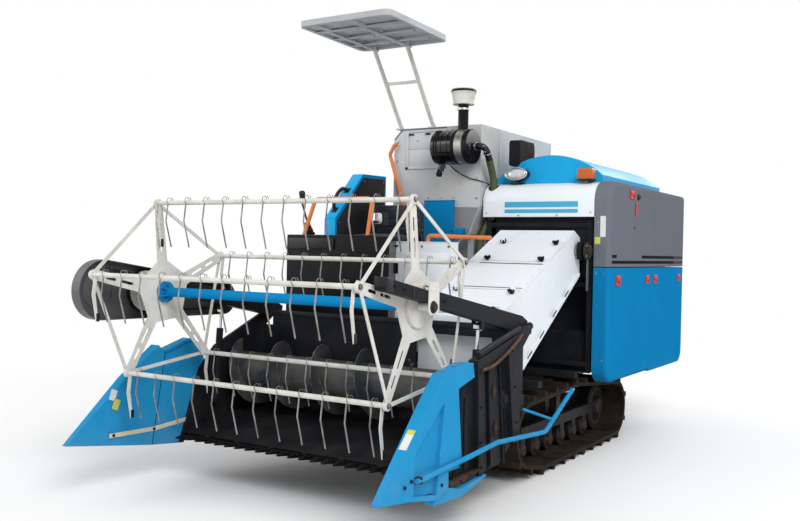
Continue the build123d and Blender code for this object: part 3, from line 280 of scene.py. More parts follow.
finish("creamPaint", (0.6, 0.56, 0.44), (0.5, 0.45, 0.34), (0.45, 0.6), fadeShare=0.7, patch=7, bump=0.05,
    specular=0.15, edge=(0.2, 0.15, 0.1), edgeShare=0.4)
finish("blackPaint", (0.01, 0.011, 0.014), (0.018, 0.019, 0.022), (0.36, 0.55), fadeShare=0.9, patch=4,
    bump=0.05, specular=0.05, dustShare=0.3, dust=(0.055, 0.045, 0.034), dustHeights=(0.6, 0.1),
    edge=(0.1, 0.095, 0.09), edgeShare=0.4)
finish("blackMatt", (0.004, 0.004, 0.005), (0.007, 0.007, 0.008), (0.6, 0.7), specular=0.02, bump=0.01)
finish("dividerBlue", (0.018, 0.255, 0.51), (0.016, 0.225, 0.46), (0.3, 0.45), patch=5, specular=0.01,
    bump=0.03, edge=(0.4, 0.5, 0.55), edgeShare=0.4, dustShare=0.2, dustHeights=(0.5, 0.15))
finish("knifeBlack", (0.006, 0.006, 0.006), (0.016, 0.013, 0.01), (0.45, 0.7), fadeShare=0.7, patch=12,
    specular=0.05, bump=0.15, edge=(0.16, 0.15, 0.14), edgeShare=0.4, edgeWidth=0.002)
finish("tineSteel", (0.27, 0.265, 0.25), (0.12, 0.105, 0.09), (0.4, 0.6), fadeShare=0.8, patch=12, metal=0.3,
    specular=0.2, bump=0.06)
finish("brownHose", (0.085, 0.05, 0.03), (0.045, 0.028, 0.02), (0.5, 0.7), patch=8, specular=0.1, bump=0.1)
finish("blackGloss", (0.005, 0.005, 0.006), (0.009, 0.009, 0.01), (0.18, 0.3), specular=0.12, bump=0.01,
    edge=(0.08, 0.08, 0.08), edgeShare=0.3)
finish("trackRubber", (0.01, 0.009, 0.008), (0.022, 0.017, 0.012), (0.65, 0.9), fadeShare=0.8, patch=9,
    bump=0.35, grain=90, specular=0.08, dust=(0.045, 0.032, 0.02), dustShare=0.6, dustHeights=(0.75, 0.0))
# painted shade: dark rough colour for the sheets that fill the shaded inside of each belt loop
finish("loopShadeDark", (0.01, 0.009, 0.008), (0.018, 0.014, 0.01), (0.7, 0.9), fadeShare=0.8, patch=9, bump=0.3,
    grain=90, specular=0.02)
finish("castIron", (0.018, 0.017, 0.016), (0.04, 0.03, 0.02), (0.5, 0.8), fadeShare=0.8, patch=11, bump=0.25,
    grain=140, specular=0.15, dust=(0.06, 0.043, 0.027), dustShare=0.5, dustHeights=(0.8, 0.0))
finish("wornSteel", (0.34, 0.33, 0.31), (0.14, 0.1, 0.065), (0.3, 0.6), fadeShare=0.7, patch=14, metal=0.85,
    bump=0.1)
finish("brightSteel", (0.55, 0.54, 0.52), (0.35, 0.33, 0.3), (0.22, 0.4), fadeShare=0.6, patch=20, metal=0.9,
    bump=0.05)
finish("flightSteel", (0.03, 0.036, 0.042), (0.075, 0.066, 0.055), (0.3, 0.5), fadeShare=0.8, patch=7,
    specular=0.3, bump=0.06, edge=(0.42, 0.39, 0.34), edgeShare=0.9, edgeWidth=0.006)
finish("chromeRod", (0.72, 0.72, 0.73), (0.6, 0.6, 0.6), (0.08, 0.2), metal=1.0, bump=0.01)
finish("orangePaint", (0.66, 0.19, 0.05), (0.54, 0.15, 0.04), (0.32, 0.5), patch=8, specular=0.2, bump=0.04,
    edge=(0.2, 0.1, 0.05), edgeShare=0.3)
finish("blackPlastic", (0.008, 0.008, 0.009), (0.015, 0.015, 0.015), (0.35, 0.55), specular=0.25, bump=0.08,
    grain=420)
finish("greenHose", (0.085, 0.1, 0.045), (0.065, 0.075, 0.035), (0.5, 0.7), specular=0.15, bump=0.1, patch=9)
finish("seatVinyl", (0.014, 0.017, 0.026), (0.024, 0.026, 0.034), (0.4, 0.55), specular=0.2, bump=0.2,
    grain=260, sheen=0.1)
finish("lampOrange", (0.46, 0.105, 0.018), (0.56, 0.15, 0.03), (0.16, 0.25), specular=0.25, bump=0.02)
finish("redPlastic", (0.5, 0.01, 0.016), (0.38, 0.007, 0.012), (0.25, 0.36), specular=0.12, bump=0.03)
finish("cleanerBlack", (0.004, 0.004, 0.005), (0.007, 0.007, 0.008), (0.12, 0.2), specular=0.5, bump=0.01)
# painted shade: a darker copy of the tank paint, for the tank's lower front that lies in shade
finish("tankShade", (0.26, 0.265, 0.27), (0.2, 0.2, 0.195), (0.5, 0.65), fadeShare=0.7, patch=3, specular=0.05,
    bump=0.04)
finish("stickerWhite", (0.66, 0.66, 0.63), (0.58, 0.57, 0.54), (0.35, 0.5), patch=14, bump=0.01)
finish("stickerYellow", (0.55, 0.56, 0.1), (0.47, 0.47, 0.09), (0.35, 0.5), patch=14, bump=0.01)
finish("greyPaint", (0.12, 0.12, 0.125), (0.085, 0.085, 0.09), (0.38, 0.5), specular=0.15, bump=0.04,
    edge=(0.3, 0.3, 0.3), edgeShare=0.3)
finish("rustySteel", (0.05, 0.028, 0.017), (0.02, 0.016, 0.013), (0.6, 0.85), fadeShare=0.8, patch=16, bump=0.2,
    grain=120, specular=0.1, speck=(0.1, 0.045, 0.02), speckShare=0.4, speckScale=70)
finish("lampGlass", (0.62, 0.64, 0.66), (0.42, 0.43, 0.44), (0.06, 0.14), patch=30, specular=0.6, metal=0.5,
    bump=0.05, grain=60)
print("finishes made:", len(finishes))

slotFinish = {
    "body_blue": "bluePaint", "cover_grey": "coverGrey", "off_white": "whitePaint", "black_paint": "blackPaint",
    "reel_white": "reelPaint", "safety_orange": "orangePaint", "bare_steel": "wornSteel", "cast": "castIron",
    "track_rubber": "trackRubber", "chrome_rod": "chromeRod", "black_plastic": "blackPlastic",
    "seat_vinyl": "seatVinyl", "lamp_orange": "lampOrange", "silver_paint": "greyPaint",
}
nodeFinish = {row["node"]: slotFinish[row["material_slot"]] for row in frame["record"]["subparts"]}
nodeFinish.update({"grain_tank": "tankPaint", "front_panel": "blackGloss", "auger": "flightSteel",
    "canopy_roof": "canopyPaint", "canopy_posts": "reelPaint", "bagging_outlets": "tankPaint",
    "reel_drive_guard": "greyPaint", "top_cover": "topBlue", "pre_cleaner": "reelPaint",
    "divider_left": "dividerBlue", "divider_right": "dividerBlue", "guide_tube": "dividerBlue",
    "air_cleaner": "cleanerBlack", "head_lamps": "blackPlastic", "cutter_bar": "knifeBlack",
    "knife": "knifeBlack"})
# the slot that each finish of an added piece stands for
finishSlot = {finish: slot for slot, finish in slotFinish.items()}
moreSlots = {
    "black_plastic": ["blackGloss", "brownHose", "greenHose", "trackRubber"],
    "black_paint": ["blackMatt", "loopShadeDark"],
    "bare_steel": ["brightSteel", "knifeBlack", "rustySteel", "tineSteel"], "reel_white": ["creamPaint"],
    "silver_paint": ["canopyPaint", "lampGlass", "tankPaint", "tankShade"], "lamp_orange": ["redPlastic"],
    "off_white": ["stickerWhite", "stickerYellow"], "body_blue": ["stripeBlue", "topBlue"],
}
for slot, names in moreSlots.items():
    finishSlot.update({name: slot for name in names})
for name, node in nodes.items():
    node.data.materials.clear()
    node.data.materials.append(finishes[nodeFinish[name]])
print("nodes dressed")


def activate(piece):
    # only this piece is selected, in object mode
    if bpy.context.object and bpy.context.object.mode == "EDIT":
        bpy.ops.object.mode_set(mode="OBJECT")
    bpy.ops.object.select_all(action="DESELECT")
    if piece:
        piece.select_set(True)
        bpy.context.view_layer.objects.active = piece


def settle(piece, name):
    # the name is given and the place goes into the mesh
    activate(piece)
    bpy.ops.object.transform_apply(location=True, rotation=True, scale=True)
    piece.name = name
    piece.data.name = name
    return piece


def soften(piece, width, segments=2, angle=35):
    # rounded edges, then smooth faces
    activate(piece)
    if width:
        edge = piece.modifiers.new("edge", "BEVEL")
        edge.width = width
        edge.segments = segments
        edge.limit_method = "ANGLE"
        edge.angle_limit = radians(angle)
        bpy.ops.object.modifier_apply(modifier="edge")
    bpy.ops.object.shade_smooth_by_angle(angle=radians(angle))
    return piece


def slab(name, low, high, edge=0.002, segments=2):
    # a softened block between two corners
    activate(None)
    middle = [(a + b) / 2 for a, b in zip(low, high)]
    bpy.ops.mesh.primitive_cube_add(size=1, location=middle, scale=[b - a for a, b in zip(low, high)])
    return soften(settle(bpy.context.object, name), edge, segments)


def slabs(*rows):
    # blocks for one piece, each from its corners and edge
    return [slab("part", *row) for row in rows]


def plate(name, outline, axis, low, high, edge=0.0012, segments=2):
    # an outline across one axis, drawn out from low to high
    activate(None)
    bpy.ops.mesh.primitive_circle_add(vertices=len(outline), fill_type="NGON")
    piece = bpy.context.object
    for corner, (first, second) in zip(piece.data.vertices, outline):
        corner.co = {"x": (low, first, second), "y": (first, low, second), "z": (first, second, low)}[axis]
    bpy.ops.object.mode_set(mode="EDIT")
    bpy.ops.mesh.select_all(action="SELECT")
    drawn = [(high - low) * (axis == letter) for letter in "xyz"]
    bpy.ops.mesh.extrude_region_move(TRANSFORM_OT_translate={"value": drawn})
    bpy.ops.mesh.select_all(action="SELECT")
    bpy.ops.mesh.normals_make_consistent(inside=False)
    bpy.ops.object.mode_set(mode="OBJECT")
    return soften(settle(piece, name), edge, segments)


def at(place, angle=0.0, axis="X"):
    # the matrix that turns about an axis through the origin and then moves to a place
    return Matrix.Translation(place) @ Matrix.Rotation(angle, 4, axis)


def moved(piece, matrix):
    # the mesh itself is moved, so the piece stays at the origin
    piece.data.transform(matrix)
    return piece


def aim(start, end):
    # the turn that brings +Z onto the line between two points
    return (Vector(end) - Vector(start)).to_track_quat("Z", "Y")


def bar(name, start, end, radius, sides=20, edge=0.0015, tipRadius=None):
    # a round bar or cone between two points
    activate(None)
    middle = (Vector(start) + Vector(end)) / 2
    length = (Vector(end) - Vector(start)).length
    bpy.ops.mesh.primitive_cone_add(vertices=sides, radius1=radius,
        radius2=radius if tipRadius is None else tipRadius, depth=length, location=middle,
        rotation=aim(start, end).to_euler())
    return soften(settle(bpy.context.object, name), edge)


def turned(name, profile, start, facing, sides=32, edge=0.0):
    # a profile of (distance along, radius) points, spun about a line that leaves start in one direction
    activate(None)
    bpy.ops.mesh.primitive_circle_add(vertices=max(3, len(profile)))
    piece = bpy.context.object
    bpy.ops.object.mode_set(mode="EDIT")
    mesh = bmesh.from_edit_mesh(piece.data)
    bmesh.ops.delete(mesh, geom=list(mesh.verts), context="VERTS")
    ring = [mesh.verts.new((radius, 0, along)) for along, radius in profile]
    for a, b in zip(ring, ring[1:]):
        mesh.edges.new((a, b))
    bmesh.update_edit_mesh(piece.data)
    bpy.ops.mesh.select_all(action="SELECT")
    bpy.ops.mesh.spin(steps=sides, angle=2 * pi, center=(0, 0, 0), axis=(0, 0, 1))
    bpy.ops.mesh.select_all(action="SELECT")
    bpy.ops.mesh.remove_doubles(threshold=0.00002)
    bpy.ops.mesh.normals_make_consistent(inside=False)
    bpy.ops.object.mode_set(mode="OBJECT")
    piece.rotation_mode = "QUATERNION"
    piece.rotation_quaternion = aim((0, 0, 0), facing)
    piece.location = start
    return soften(settle(piece, name), edge, 2, 40)


def pipe(name, points, radius, corner=0.03, sides=4, steps=6, closed=False):
    # straight runs of pipe with rounded corners
    line = bpy.data.curves.new(name, "CURVE")
    line.dimensions = "3D"
    line.bevel_depth = radius
    line.bevel_resolution = sides
    line.resolution_u = steps
    line.use_fill_caps = True
    run = line.splines.new("BEZIER")
    points = [Vector(point) for point in points]
    knots = []
    for i, point in enumerate(points):
        last = points[i - 1] if i or closed else None
        following = points[(i + 1) % len(points)] if i < len(points) - 1 or closed else None
        if last is None or following is None or corner == 0:
            knots.append((point, point, point))
            continue
        back, on = last - point, following - point
        reach = min(corner, back.length * 0.45, on.length * 0.45)
        back, on = back.normalized() * reach, on.normalized() * reach
        knots.append((point + back, point + back * 1.2, point + back * 0.45))
        knots.append((point + on, point + on * 0.45, point + on * 1.2))
    run.bezier_points.add(len(knots) - 1)
    for knot, (place, left, right) in zip(run.bezier_points, knots):
        knot.handle_left_type = knot.handle_right_type = "FREE"
        knot.co, knot.handle_left, knot.handle_right = place, left, right
    run.use_cyclic_u = closed
    piece = bpy.data.objects.new(name, line)
    scene.collection.objects.link(piece)
    activate(piece)
    bpy.ops.object.convert(target="MESH")
    piece = bpy.context.object
    piece.name = name
    bpy.ops.object.shade_smooth_by_angle(angle=radians(50))
    return piece


def join(name, pieces):
    activate(pieces[0])
    for piece in pieces:
        piece.select_set(True)
    bpy.ops.object.join()
    joined = bpy.context.object
    joined.name = name
    joined.data.name = name
    return joined


def spread(name, master, turns):
    # copies of one piece, each with its own mesh, at the given matrices; the first one is used up
    copies = []
    for turn in turns:
        copy = master.copy()
        copy.data = master.data.copy()
        copy.data.transform(turn)
        scene.collection.objects.link(copy)
        copies.append(copy)
    bpy.data.objects.remove(master)
    return join(name, copies)


def across(x, *places):
    # points at one x
    return [(x, y, z) for y, z in places]


def circle(x, y, z, radius, count, start=0.0):
    # points round a line along X; start is a share of the pitch
    turns = [2 * pi * (i + start) / count for i in range(count)]
    return [(x, y + radius * cos(turn), z + radius * sin(turn)) for turn in turns]


def boltHead(size):
    # hexagon head on a washer, facing +Z from the origin
    activate(None)
    bpy.ops.mesh.primitive_cylinder_add(vertices=14, radius=size * 0.68, depth=size * 0.14,
        location=(0, 0, size * 0.07))
    washer = settle(bpy.context.object, "washer")
    activate(None)
    bpy.ops.mesh.primitive_cylinder_add(vertices=6, radius=size * 0.54, depth=size * 0.42,
        location=(0, 0, size * 0.34))
    head = soften(settle(bpy.context.object, "head"), size * 0.05, 1)
    return join("bolt", [washer, head])


def bolts(name, places, facing, size):
    # bolt heads at the given places, all facing one way
    turn = aim((0, 0, 0), facing).to_matrix().to_4x4()
    return spread(name, boltHead(size), [at(place) @ turn for place in places])


def dress(piece, finishName, body="chassis", slot=None, replaced=()):
    # its finish and the body it rides on; the record's slot is looked up but not kept
    slot = slot or finishSlot[finishName]
    piece.data.materials.clear()
    piece.data.materials.append(finishes[finishName])
    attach(piece, body)
    if replaced:
        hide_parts(*replaced)
    return piece


def made(name, pieces, finishName, body="chassis", slot=None, replaced=()):
    # several pieces joined into one
    return dress(join(name, pieces), finishName, body, slot, replaced)


def screws(name, places, facing, size, finishName="wornSteel", body="chassis", slot="bare_steel"):
    # bolt heads as one piece of their own
    return dress(bolts(name, places, facing, size), finishName, body, slot)


print("modelling steps ready")

# side covers: stripes, latches, a reflector, the lock, rivets, blank plates
covers = {"outer": 1.0, "front": 0.51, "stripeHeights": [(1.375, 1.397), (1.335, 1.356)],
    "stripeEnds": (0.5455, 2.368), "stripeGap": (0.64, 1.223), "slashStart": 2.1, "slashCount": 7,
    "slashPitch": 0.036, "slashWide": 0.02, "skin": 0.0007}
outer = covers["outer"]
stripes = []
for row, (low, high) in enumerate(covers["stripeHeights"]):
    runs = [(covers["stripeEnds"][0], covers["slashStart"])]
    if row == 0:
        runs = [(covers["stripeEnds"][0], covers["stripeGap"][0]),
            (covers["stripeGap"][1], covers["slashStart"])]
    for start, end in runs:
        stripes.append(plate("run", [(start, low), (end, low), (end + 0.01, high), (start, high)], "x",
            outer - 0.0003, outer + covers["skin"], 0))
    for i in range(covers["slashCount"]):
        start = covers["slashStart"] + 0.016 + i * covers["slashPitch"]
        wide = covers["slashWide"]
        stripes.append(plate("slash", [(start, low), (start + wide, low), (start + wide + 0.01, high),
            (start + 0.01, high)], "x", outer - 0.0003, outer + covers["skin"], 0))
made("coverStripes", stripes, "blackMatt", "upper_cover")


def cupLatch(name, middle, size):
    # a red moulded latch: bezel, sunk bowl and lever
    y, z = middle
    wide, high = size
    bezel = slab("bezel", (outer, y - wide / 2, z - high / 2), (outer + 0.007, y + wide / 2, z + high / 2),
        0.003, 3)
    activate(bezel)
    bpy.ops.object.mode_set(mode="EDIT")
    bpy.ops.mesh.select_all(action="DESELECT")
    bpy.ops.object.mode_set(mode="OBJECT")
    for face in bezel.data.polygons:
        face.select = face.normal.x > 0.99
    bpy.ops.object.mode_set(mode="EDIT")
    bpy.ops.mesh.inset(thickness=min(size) * 0.14)
    bpy.ops.mesh.extrude_region_move(TRANSFORM_OT_translate={"value": (-0.005, 0, 0)})
    bpy.ops.object.mode_set(mode="OBJECT")
    lever = slab("lever", (outer + 0.002, y - wide * 0.3, z - high * 0.02),
        (outer + 0.008, y + wide * 0.3, z + high * 0.34), 0.002, 3)
    return join(name, [bezel, lever])


redLatches = {"upper": [((0.955, 1.838), (0.105, 0.06))],
    "lower_front": [((0.679, 1.214), (0.1, 0.075)), ((1.363, 1.214), (0.085, 0.066))],
    "lower_rear": [((1.574, 1.214), (0.085, 0.066)), ((2.251, 1.218), (0.085, 0.062))]}
for part, rows in redLatches.items():
    made(part + "Latches", [cupLatch("latch", middle, size) for middle, size in rows], "redPlastic",
        part + "_cover")
dress(slab("uprightReflector", (outer, 1.04, 1.684), (outer + 0.006, 1.072, 1.79), 0.0045, 3), "redPlastic",
    "upper_cover")
lock = turned("roundLock", [(0, 0), (0, 0.021), (0.004, 0.022), (0.012, 0.018), (0.016, 0.016), (0.016, 0.009),
    (0.011, 0.008), (0.011, 0)], (outer, 1.102, 1.829), (1, 0, 0), 28)
keyhole = turned("keyhole", [(0, 0), (0, 0.01), (0.003, 0.01), (0.003, 0.006), (0.001, 0.005), (0.001, 0)],
    (outer, 1.034, 1.598), (1, 0, 0), 20)
made("coverLock", [lock, keyhole], "blackPlastic", "upper_cover")
frontRivets = {"upper_cover": [(0.905, 1.345), (0.965, 1.345), (0.905, 1.62)],
    "lower_front_cover": [(0.9, 1.265), (0.955, 1.265), (0.9, 0.66), (0.955, 0.66)]}
for body, spots in frontRivets.items():
    rivet = turned("rivet", [(0, 0.0055), (0.0015, 0.005), (0.0025, 0.003), (0.0028, 0)], (0, 0, 0), (0, -1, 0),
        12)
    places = [at((x, covers["front"], z)) for x, z in spots]
    dress(spread(body + "Rivets", rivet, places), "wornSteel", body)
blankPlates = [("whiteBlank", (0.924, 1.52), (0.963, 1.665), "stickerWhite"),
    ("yellowBlank", (0.886, 1.47), (0.926, 1.518), "stickerYellow")]
for name, low, high, look in blankPlates:
    dress(slab(name, (low[0], covers["front"] - 0.0006, low[1]), (high[0], covers["front"] + 0.0004, high[1]),
        0), look, "upper_cover")
# lip down the rear edge of the lower front cover
dress(slab("frontDoorLip", (0.9985, 1.434, 0.515), (1.0005, 1.439, 1.296), 0.0008), "bluePaint",
    "lower_front_cover")
print("cover details made")

# front cover: double stripe, screws, hem
frontCover = {"face": 0.51, "stripeX": (0.19, 0.757), "bands": [(1.729, 1.77), (1.688, 1.715)], "skin": 0.0007,
    "screws": [(0.04, 1.69), (0.85, 1.69), (0.3, 1.672), (0.6, 1.672)]}
made("frontCoverStripe", [slab("band", (frontCover["stripeX"][0], frontCover["face"] - frontCover["skin"], low),
    (frontCover["stripeX"][1], frontCover["face"] + 0.0003, high), 0) for low, high in frontCover["bands"]],
    "stripeBlue")
screws("frontCoverScrews", [(x, frontCover["face"], z) for x, z in frontCover["screws"]], (0, -1, 0), 0.009)
dress(slab("frontCoverHem", (0.02, 0.513, 1.6605), (0.871, 0.52, 1.668), 0.002), "whitePaint")
print("front cover made")

# reel: spring coils, caps and nuts on its bars, bolts and hubs on its stars
reel = {"axis": (-1.83, 1.128), "radius": 0.513, "bars": 5, "firstAngle": 96.31, "barRadius": 0.013,
    "firstTine": 0.776, "tines": 12, "wire": 0.0019, "coilTurns": 1.5, "coilRadius": 0.0205, "coilPitch": 0.014,
    "coilRise": 0.009, "flangeBolts": 6, "flangeBoltCircle": 0.088, "tubeBoltCircle": 0.046, "tipNut": 0.022}
barPlaces = []
for k in range(reel["bars"]):
    turn = radians(reel["firstAngle"] - k * 360 / reel["bars"])
    barPlaces.append((reel["axis"][0] + reel["radius"] * cos(turn),
        reel["axis"][1] + reel["radius"] * sin(turn)))
tineX = [-reel["firstTine"] + i * 2 * reel["firstTine"] / (reel["tines"] - 1) for i in range(reel["tines"])]


def coil(name, radius, wire, turns, pitch, steps=11):
    # a spring of round wire about the X axis, round the origin
    line = bpy.data.curves.new(name, "CURVE")
    line.dimensions = "3D"
    line.bevel_depth = wire
    line.bevel_resolution = 1
    line.use_fill_caps = True
    count = int(turns * steps) + 1
    run = line.splines.new("POLY")
    run.points.add(count - 1)
    for i, point in enumerate(run.points):
        angle = 2 * pi * i / steps - pi / 2
        point.co = ((i / steps - turns / 2) * pitch, radius * cos(angle), radius * sin(angle), 1)
    piece = bpy.data.objects.new(name, line)
    scene.collection.objects.link(piece)
    activate(piece)
    bpy.ops.object.convert(target="MESH")
    bpy.ops.object.shade_smooth_by_angle(angle=radians(60))
    return bpy.context.object


for k, (y, z) in enumerate(barPlaces):
    spring = coil("spring", reel["coilRadius"], reel["wire"], reel["coilTurns"], reel["coilPitch"])
    dress(spread(f"tineSprings{k + 1}", spring, [at((x + 0.012, y, z + reel["coilRise"])) for x in tineX]),
        "tineSteel", f"tine_bar_{k + 1}")
    made(f"tineCaps{k + 1}", [slab("cap", (side * 0.836 - 0.0055, y + 0.004, z - 0.25),
        (side * 0.836 + 0.0055, y + 0.026, z - 0.205), 0.002) for side in (-1, 1)], "blackPlastic",
        f"tine_bar_{k + 1}")
    made(f"barNuts{k + 1}", [bolts("tipNut", [(side * 0.866, y, z)], (side, 0, 0), reel["tipNut"])
        for side in (-1, 1)], "wornSteel", f"tine_bar_{k + 1}")
for k, (y, z) in enumerate(barPlaces):
    bars = nodes[f"tine_bar_{k + 1}"]
    bars.data.materials.append(finishes["tineSteel"])
    toScene = bars.matrix_world
    for face in bars.data.polygons:
        middle = toScene @ face.center
        if middle.z < z - reel["barRadius"] - 0.004 and abs(middle.x) < 0.815:
            face.material_index = 1
axisY, axisZ = reel["axis"]
flangeBolts = [bolts("flangeBolts", circle(side * 0.862, axisY, axisZ, reel["flangeBoltCircle"],
    reel["flangeBolts"], 0.3), (side, 0, 0), 0.015) for side in (-1, 1)]
made("starBolts", flangeBolts, "reelPaint", "reel")
made("starHubs", [turned("hub", [(0, 0.106), (0.0085, 0.106), (0.0105, 0.104), (0.0105, 0.026),
    (0.0085, 0.0215)], (side * 0.8617, axisY, axisZ), (side, 0, 0), 48) for side in (-1, 1)], "reelPaint",
    "reel")
gussets = [moved(plate("gusset", [(side * 0.83, 0.024), (side * 0.83, 0.057), (side * 0.785, 0.027),
    (side * 0.77, 0.024)], "y", -0.002, 0.002, 0.0006), at((0, axisY, axisZ), pi * i / 3)) for side in (-1, 1)
    for i in range(6)]
made("tubeGussets", gussets, "bluePaint", "reel")
tubeBolts = [bolts("tubeBolts", circle(side * 0.831, axisY, axisZ, reel["tubeBoltCircle"], 6, 0.5),
    (-side, 0, 0), 0.01) for side in (-1, 1)]
made("tubeFlangeBolts", tubeBolts, "wornSteel", "reel")
print("reel details made")

# reel arms: bearing brackets and caps, hooks, end caps with two bands, bolts, pivot nuts
arm = {"inner": 0.88, "outer": 0.94, "front": (-2.234, 1.246), "pivot": (-0.746, 0.976)}
armSlope = (arm["front"][1] - arm["pivot"][1]) / (arm["pivot"][0] - arm["front"][0])


def armHeight(y):
    return arm["front"][1] + (arm["front"][0] - y) * armSlope


pieces = []
for side in (-1, 1):
    face = side * arm["outer"]
    out = side * (arm["outer"] + 0.006)
    faceLow, faceHigh = sorted((face, out))
    pieces.append(plate("bracket", [(-1.868, 1.246), (-1.872, 1.11), (-1.85, 1.09), (-1.792, 1.09),
        (-1.77, 1.112), (-1.772, 1.23), (-1.79, 1.246)], "x", faceLow, faceHigh, 0.0015))
    pieces.append(slab("strapTop", (min(face - side * 0.066, out), -1.868, armHeight(-1.83) + 0.029),
        (max(face - side * 0.066, out), -1.792, armHeight(-1.83) + 0.035), 0.0015))
made("bearingBrackets", pieces, "reelPaint", "reel_arms")
pieces = []
for side in (-1, 1):
    out = side * (arm["outer"] + 0.006)
    pieces.append(turned("bearing", [(0, 0.03), (0.004, 0.03), (0.007, 0.027), (0.007, 0.021), (0.014, 0.02),
        (0.016, 0.018), (0.016, 0)], (out, axisY, axisZ), (side, 0, 0), 28))
made("bearingCaps", pieces, "castIron", "reel_arms")
pieces = []
for side in (-1, 1):
    x = side * (arm["outer"] - 0.03)
    pieces.append(pipe("hook", [(x, -1.8, armHeight(-1.8) + 0.026), (x, -1.8, armHeight(-1.8) + 0.055),
        (x, -1.856, armHeight(-1.85) + 0.055), (x, -1.856, armHeight(-1.85) + 0.032)], 0.0055, 0.016, 3, 4))
made("springHooks", pieces, "wornSteel", "reel_arms")
pieces = []
for side in (-1, 1):
    low, high = sorted((side * (arm["inner"] - 0.004), side * (arm["outer"] + 0.004)))
    y0, y1 = arm["front"][0] - 0.002, arm["front"][0] + 0.052
    pieces.append(plate("cap", [(y0, armHeight(y0) - 0.0315), (y1, armHeight(y1) - 0.0315),
        (y1, armHeight(y1) + 0.0315), (y0, armHeight(y0) + 0.0315)], "x", low, high, 0.004, 3))
    for y, half in ((-2.0, 0.0285), (-1.786, 0.0385)):
        pieces.append(plate("weldBand", [(y - 0.006, armHeight(y - 0.006) - half),
            (y + 0.006, armHeight(y + 0.006) - half), (y + 0.006, armHeight(y + 0.006) + half),
            (y - 0.006, armHeight(y - 0.006) + half)], "x",
            side * arm["inner"] - 0.002 if side > 0 else low + 0.002,
            high - 0.002 if side > 0 else side * arm["inner"] + 0.002, 0.002))
made("armCaps", pieces, "blackPlastic", "reel_arms")
made("armBolts", [bolts("armBolts", [(side * arm["outer"], y, armHeight(y)) for y in (-2.16, -2.08, -1.71)],
    (side, 0, 0), 0.013) for side in (-1, 1)], "blackPaint", "reel_arms", slot="bare_steel")
made("armPivotNuts", [bolts("pivotNut", [(side * 0.965, *arm["pivot"])], (side, 0, 0), 0.03)
    for side in (-1, 1)], "blackPaint", "header", slot="bare_steel")
print("reel arm details made")

# reel drive guard: round pressings over its two pulleys
guard = {"face": -1.054, "front": (-2.147, 1.14, 0.17), "rear": (-1.18, 1.065, 0.105)}
made("guardPressings", [turned("pressing", [(0, radius * 0.62), (0, radius * 0.6), (0.0038, radius * 0.56),
    (0.0038, radius * 0.3), (0.001, radius * 0.26), (0.001, 0)], (guard["face"] + 0.004, y, z), (-1, 0, 0), 40)
    for y, z, radius in (guard["front"], guard["rear"])], "greyPaint", "reel_arms")
print("guard details made")

# feeder house: cross seams, edge folds, screws, slots along its sides, hub of its hinge
feeder = {"x": (0.23, 0.79), "top": [(-0.738, 1.037), (0.367, 1.558)], "lidX": (0.322, 0.786),
    "seams": (0.311, 0.69), "slots": (0.1, 0.3, 0.52, 0.74), "slotSize": (0.075, 0.012),
    "side": [(-0.466, 0.68), (0.45, 1.245)], "slotRise": 0.03, "hinge": (0.42, 1.42)}
(foot, footZ), (head, headZ) = feeder["top"]
feederLean = atan2(headZ - footZ, head - foot)


def onFeeder(x, along):
    # a point on the feeder's top sheet
    return (x, foot + along * cos(feederLean), footZ + along * sin(feederLean))


def layOnFeeder(piece):
    # a piece modelled with Y along the top sheet and Z away from it
    return moved(piece, at((0, foot, footZ), feederLean))


pieces = [layOnFeeder(slab("seam", (feeder["x"][0] + 0.004, along - 0.011, 0.0),
    (feeder["x"][1] - 0.002, along + 0.011, 0.0032), 0.0012)) for along in feeder["seams"]]
for x in (feeder["x"][1] - 0.004, feeder["x"][0] - 0.001):
    pieces.append(layOnFeeder(slab("edgeFold", (x, -0.01, -0.014), (x + 0.005, 1.045, 0.0035), 0.0015)))
made("feederSeams", pieces, "whitePaint", "header")
spots = [onFeeder(x, along) for along in (0.4, 0.5, 0.6, 1.1, 1.17) for x in (0.245, 0.775)]
spots += [onFeeder(x, 1.17) for x in (0.4, 0.55, 0.66)]
turn = aim((0, 0, 0), (0, -sin(feederLean), cos(feederLean))).to_matrix().to_4x4()
dress(spread("feederScrews", boltHead(0.01), [at(spot) @ turn for spot in spots]), "whitePaint", "header")
# dark slots along both sides
(sideY, sideZ), (endY, endZ) = feeder["side"]
sideSlope = atan2(endZ - sideZ, endY - sideY)
slotLong, slotHigh = feeder["slotSize"]
pieces = []
for x in (feeder["x"][1] + 0.016, feeder["x"][0] - 0.016):
    for share in feeder["slots"]:
        y = sideY + share * (endY - sideY)
        z = sideZ + share * (endZ - sideZ) + feeder["slotRise"]
        pieces.append(moved(slab("slot", (-0.0006, -slotLong / 2, -slotHigh / 2),
            (0.0006, slotLong / 2, slotHigh / 2), 0), at((x, y, z), sideSlope)))
made("feederSlots", pieces, "blackPlastic", "header")
dress(turned("feederHub", [(0, 0.061), (0.01, 0.06), (0.014, 0.055), (0.014, 0.036), (0.02, 0.034),
    (0.03, 0.033), (0.034, 0.029), (0.034, 0.01), (0.029, 0.009), (0.029, 0)], (0.86, *feeder["hinge"]),
    (1, 0, 0), 36), "castIron")
screws("hubBolts", circle(0.871, *feeder["hinge"], 0.048, 4, 0.5), (1, 0, 0), 0.015)
# wire eye at the lower end
dress(pipe("feederEye", [(0.7, -0.345, 0.752), (0.7, -0.345, 0.722), (0.7, -0.315, 0.722), (0.7, -0.315, 0.77)],
    0.005, 0.012, 3, 4), "whitePaint", "header")
print("feeder details made")

